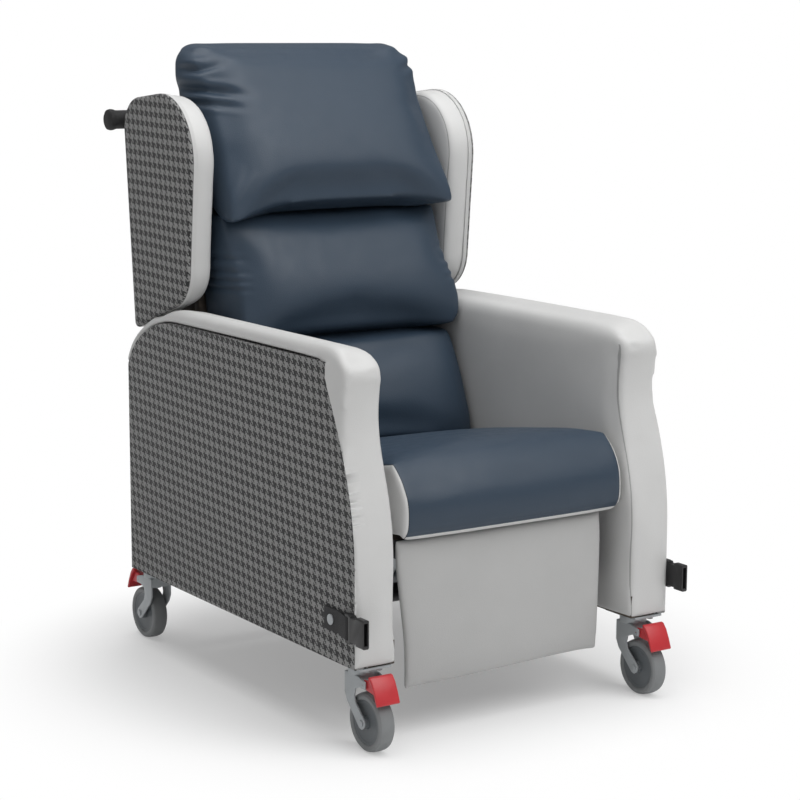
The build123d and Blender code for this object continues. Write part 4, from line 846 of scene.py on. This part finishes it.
# Side, height, slope, reach, width and depth
HEAD_GATHERS = (
    (-1, 1.058, -0.10, 0.100, 0.0075, 0.008),
    (-1, 1.094, 0.25, 0.070, 0.0065, 0.007),
    (-1, 1.034, -0.12, 0.075, 0.0060, 0.004),
    (1, 1.102, -0.25, 0.060, 0.0065, 0.005),
)
PUCKER_HEIGHTS = (0.700, 0.715, 0.731, 0.754)
for fold in HEAD_GATHERS:
    gather(head, *fold)
crease(head, spot(-0.246, 0.535, 0.850), spot(-0.195, 0.552, 0.925), width=0.007, depth=0.007)
for pucker_height in PUCKER_HEIGHTS:
    gather(middle, -1, pucker_height, slope=0, reach=0.045, width=0.0045, depth=0.0025)
    gather(middle, 1, pucker_height, slope=0, reach=0.035, width=0.0045, depth=0.0018)


# Arms

ARM_BOARD_INNER = 0.270
ARM_BOARD_OUTER = 0.306
ARM_BOARD_TOP = 0.645
ARM_BOARD_FRONT = 0.012
ARM_SMOOTHING = 3
ARM_INSET = 0.002
ARM_CAP = 0.0045
ARM_STUFFED_SMOOTHING = 2
PANEL_INNER = 0.303
UNDER_PANEL = 0.02
FACING_REAR = 0.3
RAIL_COVER_LOW = (-PANEL_INNER, -0.0150, 0.1425)
RAIL_COVER_HIGH = (-ARM_INNER, 0.0915, 0.1900)
RIVET_TOP = 0.290
PANEL_FRONT_REACH = 0.1
PANEL_FACE_DEPTH = 0.001
EDGE_SNAP = 0.0025
EDGE_SLACK = 0.0005
LIP_PROUD = 0.0007
LIP_DROP = 0.004
LIP_WIDTH = 0.005
LIP_REACH = 0.006
TUCK_DEPTH = 0.0013
LIP_SMOOTHING = 10
LIP_SMOOTHED = (0.001, 0.030)
NOSE_DROOP = 0.012
NOSE_DEPTHS = (-0.015, 0.090)
NOSE_HEIGHTS = (0.560, 0.640)
ARM_CROWN = 0.007
ARM_CROWN_HEIGHTS = (0.640, 0.658)


def arm_rests(points, normals):
    """Faces of the arm's padding that lie on the side board and panel."""
    width = np.abs(points[:, 0])
    beside_board = (width > ARM_BOARD_INNER) & (width < ARM_BOARD_OUTER) & (points[:, 2] < ARM_BOARD_TOP)
    return beside_board & (points[:, 1] > ARM_BOARD_FRONT - DEPTH_CENTRE)


def arm_stuffing():
    """Left arm's pad and facing, carried a little under the cloth panel and over the front of the rail."""
    shape = merged_copy("left_arm_pad", "left_arm_facing")
    under = set()
    for face in shape.faces:
        centre = face.calc_center_median()
        if face.normal.y > FACING_REAR and centre.x < -PANEL_INNER and centre.z < ARM_PANEL_TOP:
            under.update(face.verts)
    bmesh.ops.translate(shape, verts=list(under), vec=(0, UNDER_PANEL, 0))
    low = spot(*RAIL_COVER_LOW)
    high = spot(*RAIL_COVER_HIGH)
    place = Matrix.Translation((low + high) / 2) @ Matrix.Diagonal((*(high - low), 1))
    bmesh.ops.create_cube(shape, size=1, matrix=place)
    return shape


def panel_edge(heights):
    """Place along Y of the outer panel's front edge at some heights."""
    points = points_of(frame["nodes"]["left_outer_panel"].data)
    depth = points[:, 1] + DEPTH_CENTRE
    beside_rivet = (points[:, 2] < RIVET_TOP) & (depth > 0)
    on_face = points[:, 0] < PANEL_FACE_DEPTH - ARM_OUTER
    front = points[on_face & (depth < PANEL_FRONT_REACH) & ~beside_rivet]
    front = front[np.argsort(front[:, 2])]
    return np.interp(heights, front[:, 2], front[:, 1])


def lip_over_panel(piece):
    """Bring the arm's skin up to the cloth panel's edge in a small lip, and tuck the rest under it."""
    points = points_of(piece.data)
    edge = panel_edge(points[:, 2])
    outside = (points[:, 2] < ARM_PANEL_TOP) & (points[:, 0] < -ARM_BOARD_OUTER)
    at_edge = outside & (np.abs(points[:, 1] - edge) < EDGE_SNAP)
    points[:, 1] = np.where(at_edge, edge, points[:, 1])
    ahead = edge - points[:, 1]
    lip = ARM_OUTER + LIP_PROUD - LIP_DROP * (ahead / LIP_WIDTH) ** 2
    lipped = outside & (ahead > -EDGE_SLACK) & (ahead < LIP_REACH)
    tucked = outside & (ahead <= -EDGE_SLACK)
    points[:, 0] = np.where(lipped, np.minimum(points[:, 0], -lip), points[:, 0])
    points[:, 0] = np.where(tucked, np.maximum(points[:, 0], TUCK_DEPTH - ARM_OUTER), points[:, 0])
    points[:, 0] = np.where(at_edge, -lip, points[:, 0])
    move_points(piece.data, points)
    start, end = LIP_SMOOTHED
    relax(piece, LIP_SMOOTHING, outside & (ahead > start) & (ahead < end))


def shape_arm_top(piece):
    """Let the arm's nose droop and crown its top."""
    points = points_of(piece.data)
    nose = 1 - rise(points[:, 1] + DEPTH_CENTRE, *NOSE_DEPTHS)
    points[:, 2] -= NOSE_DROOP * nose * rise(points[:, 2], *NOSE_HEIGHTS)
    across = (-points[:, 0] - (ARM_INNER + ARM_OUTER) / 2) / (ARM_OUTER - ARM_INNER) * 2
    points[:, 2] += ARM_CROWN * np.clip(1 - across ** 4, 0, 1) * rise(points[:, 2], *ARM_CROWN_HEIGHTS)
    move_points(piece.data, points)


left_arm = soft_skin("left_arm_cover", arm_stuffing(), arm_vinyl, THIN_VOXEL, ARM_SMOOTHING)
swell(left_arm, ARM_INSET, ARM_CAP, arm_rests)
relax(left_arm, ARM_STUFFED_SMOOTHING)
lip_over_panel(left_arm)
shape_arm_top(left_arm)
crease(left_arm, spot(-0.262, 0.026, 0.626), spot(-0.285, 0.022, 0.620), width=0.005, depth=0.0016)
right_arm = other_side(left_arm, "right_arm_cover", arm_vinyl)
for arm, side in ((left_arm, "left"), (right_arm, "right")):
    dress(arm, f"{side}_arm_pad", f"{side}_arm_facing")


# Wings

WING_BOARD = 0.290
WING_BOARD_INNER = 0.280
WING_UNDER_PANEL = 0.008
WING_SMOOTHING = 4
WING_INSET = 0.002
WING_CAP = 0.0045
WING_STUFFED_SMOOTHING = 3


def wing_rests(points, normals):
    """Outer faces of the left wing's pad, which lie on its panel."""
    return points[:, 0] < -WING_BOARD


left_wing = soft_skin("left_wing_cover", merged_copy("left_wing_pad"), wing_vinyl, THIN_VOXEL, WING_SMOOTHING)
swell(left_wing, WING_INSET, WING_CAP, wing_rests)
relax(left_wing, WING_STUFFED_SMOOTHING)
wing_points = points_of(left_wing.data)
wing_points[:, 0] -= WING_UNDER_PANEL * (1 - rise(wing_points[:, 0], -WING_BOARD, -WING_BOARD_INNER))
move_points(left_wing.data, wing_points)
right_wing = other_side(left_wing, "right_wing_cover", wing_vinyl)
for wing, side in ((left_wing, "left"), (right_wing, "right")):
    dress(wing, f"{side}_wing_pad")


# Cloth panels

SIDE_CLOTH_EDGE = 0.002
WING_CLOTH_EDGE = 0.0015
REAR_CLOTH_EDGE = 0.004
CLOTH_EDGE_SEGMENTS = 4


def cloth_panel(node, material, edge, outward):
    """Cloth pulled over a panel, with softly rounded edges."""
    shape = merged_copy(node)
    ease_edges(shape, edge, CLOTH_EDGE_SEGMENTS)
    piece = make_piece(node + "_cover", shape, material)
    lay_sheet(piece, outward)
    dress(piece, node)


for side, outward in (("left", (-1, 0, 0)), ("right", (1, 0, 0))):
    cloth_panel(f"{side}_outer_panel", side_cloth, SIDE_CLOTH_EDGE, outward)
    cloth_panel(f"{side}_wing_panel", wing_cloth, WING_CLOTH_EDGE, outward)
cloth_panel("rear_panel", back_cloth, REAR_CLOTH_EDGE, (0, cos(REAR_LEAN), -sin(REAR_LEAN)))


# Castors

# Radius and half width
TYRE_PROFILE = ((0.038, 0.0), (0.038, 0.0125), (0.0395, 0.0142), (0.0415, 0.0150), (0.0455, 0.0146),
                (0.0485, 0.0120), (0.0497, 0.0070), (0.050, 0.0))
HUB_PROFILE = ((0.0041, 0.0), (0.0041, 0.0172), (0.0098, 0.0172), (0.0104, 0.0166), (0.0112, 0.0112),
               (0.0310, 0.0104), (0.0330, 0.0112), (0.0345, 0.0120), (0.0378, 0.0120), (0.0378, 0.0))
WHEEL_STEPS = 72
# Reach from the swivel axis and height
FORK_LEG = ((-0.021, 0.1275), (-0.021, 0.092), (-0.014, 0.078), (0.0234, 0.0412), (0.031, 0.0391),
            (0.0388, 0.0443), (0.0410, 0.0520), (0.0388, 0.0566), (0.012, 0.0810), (0.008, 0.0930),
            (0.011, 0.1040), (0.024, 0.1095), (0.040, 0.1095), (0.0415, 0.1160), (0.040, 0.1220),
            (0.020, 0.1275))
FORK_CROWN = ((-0.021, 0.110), (0.019, 0.110), (0.019, 0.128), (-0.021, 0.128))
PEDAL_TREAD = ((0.052, 0.1345), (0.058, 0.1335), (0.066, 0.1240), (0.074, 0.1080), (0.0805, 0.0915),
               (0.0770, 0.0893), (0.0700, 0.1045), (0.0610, 0.1210), (0.052, 0.1290))
PEDAL_ARM = ((0.034, 0.1240), (0.056, 0.1265), (0.070, 0.1045), (0.034, 0.1080))
PEDAL_PIVOT = (0.034, 0.116)
FORK_INNER = 0.018
FORK_OUTER = 0.0215
FORK_CROWN_HALF = FORK_OUTER - 0.0004
FORK_EDGE = 0.0011
BEARING_RADIUS = 0.024
BEARING_LOW = 0.126
BEARING_HIGH = 0.138
BEARING_SEGMENTS = 48
PEDAL_HALF_WIDTH = 0.0225
PEDAL_ARM_INNER = 0.0135
PEDAL_ARM_OUTER = 0.0175
PEDAL_PIN_RADIUS = 0.003
PEDAL_EAR_RADIUS = 0.008
PEDAL_PIN_SEGMENTS = 32
PEDAL_EDGE = 0.0018
CASTOR_EDGE_SEGMENTS = 3


def castor_matrix(side, end):
    """From a castor's own frame, wheel towards -Y, to its place."""
    depth = FRONT_SWIVEL_DEPTH if end < 0 else REAR_SWIVEL_DEPTH
    turn = 0 if end < 0 else pi
    return Matrix.Translation(spot(side * WHEEL_TRACK_HALF, depth, 0)) @ Matrix.Rotation(turn, 4, "Z")


def spin_round(shape, corners, edges, middle, steps):
    """Turn a profile once round a line that runs sideways through a point."""
    bmesh.ops.spin(shape, geom=corners + edges, cent=middle, axis=(1, 0, 0), angle=2 * pi, steps=steps,
                   use_merge=True)
    bmesh.ops.remove_doubles(shape, verts=shape.verts, dist=MERGE_DISTANCE)
    bmesh.ops.recalc_face_normals(shape, faces=shape.faces)


def turned(profile):
    """Wheel part turned from a half profile, mirrored to both sides of the middle."""
    shape = bmesh.new()
    whole = list(profile) + [(radius, -width) for radius, width in reversed(profile) if width > 0]
    corners = [shape.verts.new((width, -CASTOR_TRAIL, WHEEL_RADIUS + radius)) for radius, width in whole]
    edges = [shape.edges.new(pair) for pair in zip(corners, corners[1:] + corners[:1])]
    spin_round(shape, corners, edges, (0, -CASTOR_TRAIL, WHEEL_RADIUS), WHEEL_STEPS)
    return shape


def plate(shape, outline, low, high):
    """Add a flat plate with an outline of reach and height, between two widths."""
    corners = [shape.verts.new((low, -reach, height)) for reach, height in outline]
    face = shape.faces.new(corners)
    moved = bmesh.ops.extrude_face_region(shape, geom=[face])["geom"]
    lifted = [item for item in moved if isinstance(item, bmesh.types.BMVert)]
    bmesh.ops.translate(shape, verts=lifted, vec=(high - low, 0, 0))


def round_bar(shape, radius, length, segments, place):
    """Add a cylinder, upright unless its place turns it."""
    bmesh.ops.create_cone(shape, cap_ends=True, segments=segments, radius1=radius, radius2=radius,
                          depth=length, matrix=place)


def cross_bar(shape, radius, low, high):
    """Add a cylinder on the pedal's pivot, between two widths."""
    reach, height = PEDAL_PIVOT
    place = Matrix.Translation(((low + high) / 2, -reach, height)) @ Matrix.Rotation(pi / 2, 4, "Y")
    round_bar(shape, radius, high - low, PEDAL_PIN_SEGMENTS, place)


def finished(shape, width):
    """Point the faces outwards and round the sharp edges."""
    bmesh.ops.recalc_face_normals(shape, faces=shape.faces)
    round_sharp_edges(shape, width, CASTOR_EDGE_SEGMENTS)
    return shape


def fork_shape():
    """Stamped fork with its crown, bearing housing and two slim legs."""
    shape = bmesh.new()
    for low, high in ((-FORK_OUTER, -FORK_INNER), (FORK_INNER, FORK_OUTER)):
        plate(shape, FORK_LEG, low, high)
    plate(shape, FORK_CROWN, -FORK_CROWN_HALF, FORK_CROWN_HALF)
    place = Matrix.Translation((0, 0, (BEARING_LOW + BEARING_HIGH) / 2))
    round_bar(shape, BEARING_RADIUS, BEARING_HIGH - BEARING_LOW, BEARING_SEGMENTS, place)
    return finished(shape, FORK_EDGE)


def pedal_shape():
    """Brake pedal: a curved tread on two arms that turn on a pin."""
    shape = bmesh.new()
    plate(shape, PEDAL_TREAD, -PEDAL_HALF_WIDTH, PEDAL_HALF_WIDTH)
    for low, high in ((-PEDAL_ARM_OUTER, -PEDAL_ARM_INNER), (PEDAL_ARM_INNER, PEDAL_ARM_OUTER)):
        plate(shape, PEDAL_ARM, low, high)
        cross_bar(shape, PEDAL_EAR_RADIUS, low, high)
    cross_bar(shape, PEDAL_PIN_RADIUS, -FORK_OUTER, FORK_OUTER)
    return finished(shape, PEDAL_EDGE)


for end, end_name in ((-1, "front"), (1, "rear")):
    for side, side_name in ((-1, "left"), (1, "right")):
        for node_end, shape in (
            ("castor_tyre", turned(TYRE_PROFILE)),
            ("castor_hub", turned(HUB_PROFILE)),
            ("castor_fork", fork_shape()),
            ("brake_pedal", pedal_shape()),
        ):
            node = f"{end_name}_{side_name}_{node_end}"
            bmesh.ops.transform(shape, matrix=castor_matrix(side, end), verts=shape.verts)
            dress(make_piece(node + "_look", shape, finish_of_slot[slot_of_node[node]]), node)


# Push grips

# Radius and width
GRIP_PROFILE = ((0.0127, GRIP_INNER), (0.0170, GRIP_INNER), (0.0175, GRIP_INNER + 0.002),
                (0.0175, GRIP_OUTER - 0.018), (0.0195, GRIP_OUTER - 0.012), (0.0200, GRIP_OUTER - 0.007),
                (0.0188, GRIP_OUTER - 0.0025), (0.0150, GRIP_OUTER - 0.0003), (0.0, GRIP_OUTER))
GRIP_STEPS = 48


def add_grip(shape, side):
    """Add a foam grip with a soft flare and a domed end."""
    bar = spot(0, PUSH_BAR_DEPTH, PUSH_BAR_HEIGHT)
    corners = [shape.verts.new((side * width, bar.y, bar.z + radius)) for radius, width in GRIP_PROFILE]
    edges = [shape.edges.new(pair) for pair in zip(corners[:-1], corners[1:])]
    spin_round(shape, corners, edges, bar, GRIP_STEPS)


grips = bmesh.new()
for side in (-1, 1):
    add_grip(grips, side)
dress(make_piece("push_grips_look", grips, finish_of_slot["black_foam"]), "push_grips")


# Every other node, with its edges eased

EDGE_OF_SLOT = {"timber": 0.0015, "black_steel": 0.0008, "zinc_steel": 0.0006, "buckle_plastic": 0.0009,
                "webbing": 0.0004, "polished_rod": 0.0005}
for node, packed in frame["nodes"].items():
    if packed.hide_render:
        continue
    shape = merged_copy(node)
    ease_edges(shape, EDGE_OF_SLOT[slot_of_node[node]])
    dress(make_piece(node + "_look", shape, finish_of_slot[slot_of_node[node]]), node)


# Floor, light and camera

CAMERA_PLACE = Vector((-2.1311, -2.8631 - DEPTH_CENTRE, 1.1812))
CAMERA_TURN = radians(33.45)
CAMERA_DIP = radians(9.92)
CAMERA_ROLL = radians(0.22)
FOCAL_PIXELS = 2161.95
FRAME_PIXELS = 800
SENSOR_WIDTH = 36
MIDDLE_PIXEL = 397.57
FLOOR_RADIUS = 14
FLOOR_SEGMENTS = 64
FLOOR_COLOUR = (0.86, 0.86, 0.86, 1)
FLOOR_ROUGHNESS = 0.7
FLOOR_SPECULAR = 0.1
FLOOR_GLOW_START = 0.42
FLOOR_GLOW_END = 0.80
# Least share of painted glow, which lightens the chair's shadow on the floor near it
FLOOR_LEAST_GLOW = 0.28
WORLD_LIGHT = 0.30
WORLD_SEEN = 1.0


def make_camera():
    """Camera at the photograph's place and angle."""
    lens = bpy.data.cameras.new("camera")
    lens.sensor_width = SENSOR_WIDTH
    lens.lens = FOCAL_PIXELS * SENSOR_WIDTH / FRAME_PIXELS
    lens.shift_x = (FRAME_PIXELS / 2 - MIDDLE_PIXEL) / FRAME_PIXELS
    camera = bpy.data.objects.new("camera", lens)
    level = cos(CAMERA_DIP)
    forward = Vector((sin(CAMERA_TURN) * level, cos(CAMERA_TURN) * level, -sin(CAMERA_DIP)))
    turn = forward.to_track_quat("-Z", "Y").to_matrix() @ Matrix.Rotation(CAMERA_ROLL, 3, "Z")
    camera.matrix_world = Matrix.Translation(CAMERA_PLACE) @ turn.to_4x4()
    scene.collection.objects.link(camera)
    scene.camera = camera


def soft_light(name, place, aim, size, power):
    """Large square lamp turned to a point."""
    lamp = bpy.data.lights.new(name, "AREA")
    lamp.shape = "SQUARE"
    lamp.size = size
    lamp.energy = power
    holder = bpy.data.objects.new(name, lamp)
    holder.location = place
    holder.rotation_mode = "QUATERNION"
    holder.rotation_quaternion = (Vector(aim) - Vector(place)).to_track_quat("-Z", "Y")
    scene.collection.objects.link(holder)


def make_floor():
    """Pale floor with a painted glow, seen directly and in reflections, that lightens the shadow near the
    chair and runs out to white.
    """
    shape = bmesh.new()
    bmesh.ops.create_circle(shape, cap_ends=True, segments=FLOOR_SEGMENTS, radius=FLOOR_RADIUS)
    material, tree, shader, place = start_material("pale_floor", FLOOR_ROUGHNESS)
    shader.inputs["Base Color"].default_value = FLOOR_COLOUR
    shader.inputs["Specular IOR Level"].default_value = FLOOR_SPECULAR
    away = tree.nodes.new("ShaderNodeVectorMath")
    away.operation = "LENGTH"
    tree.links.new(place, away.inputs[0])
    fade = tree.nodes.new("ShaderNodeMapRange")
    fade.interpolation_type = "SMOOTHSTEP"
    fade.inputs["From Min"].default_value = FLOOR_GLOW_START
    fade.inputs["From Max"].default_value = FLOOR_GLOW_END
    fade.inputs["To Min"].default_value = FLOOR_LEAST_GLOW
    tree.links.new(away.outputs["Value"], fade.inputs["Value"])
    glow = tree.nodes.new("ShaderNodeEmission")
    paths = tree.nodes.new("ShaderNodeLightPath")
    seen = maths(tree, "MAXIMUM", paths.outputs["Is Camera Ray"], paths.outputs["Is Glossy Ray"])
    seen = maths(tree, "MAXIMUM", seen, paths.outputs["Is Transmission Ray"])
    share = maths(tree, "MULTIPLY", fade.outputs["Result"], seen)
    mix = tree.nodes.new("ShaderNodeMixShader")
    tree.links.new(share, mix.inputs["Fac"])
    tree.links.new(shader.outputs["BSDF"], mix.inputs[1])
    tree.links.new(glow.outputs["Emission"], mix.inputs[2])
    tree.links.new(mix.outputs["Shader"], tree.nodes["Material Output"].inputs["Surface"])
    make_piece("floor", shape, material)


def make_world():
    """White studio: plain white where it is seen, softer where it only lights."""
    world = bpy.data.worlds.new("studio")
    world.use_nodes = True
    tree = world.node_tree
    back = tree.nodes["Background"]
    paths = tree.nodes.new("ShaderNodeLightPath")
    seen = maths(tree, "MAXIMUM", paths.outputs["Is Camera Ray"], paths.outputs["Is Transmission Ray"])
    strength = tree.nodes.new("ShaderNodeMapRange")
    strength.inputs["To Min"].default_value = WORLD_LIGHT
    strength.inputs["To Max"].default_value = WORLD_SEEN
    tree.links.new(seen, strength.inputs["Value"])
    tree.links.new(strength.outputs["Result"], back.inputs["Strength"])
    back.inputs["Color"].default_value = (1, 1, 1, 1)
    scene.world = world


make_camera()
make_world()
make_floor()
soft_light("key", place=(1.0, -2.6, 3.6), aim=(0, 0, 0.6), size=3.0, power=100)
soft_light("top", place=(-0.3, 0.0, 3.9), aim=(0, 0, 0.6), size=3.0, power=85)
soft_light("fill", place=(-3.4, -2.6, 1.8), aim=(0, 0, 0.5), size=2.4, power=8)
scene.view_settings.view_transform = "Standard"
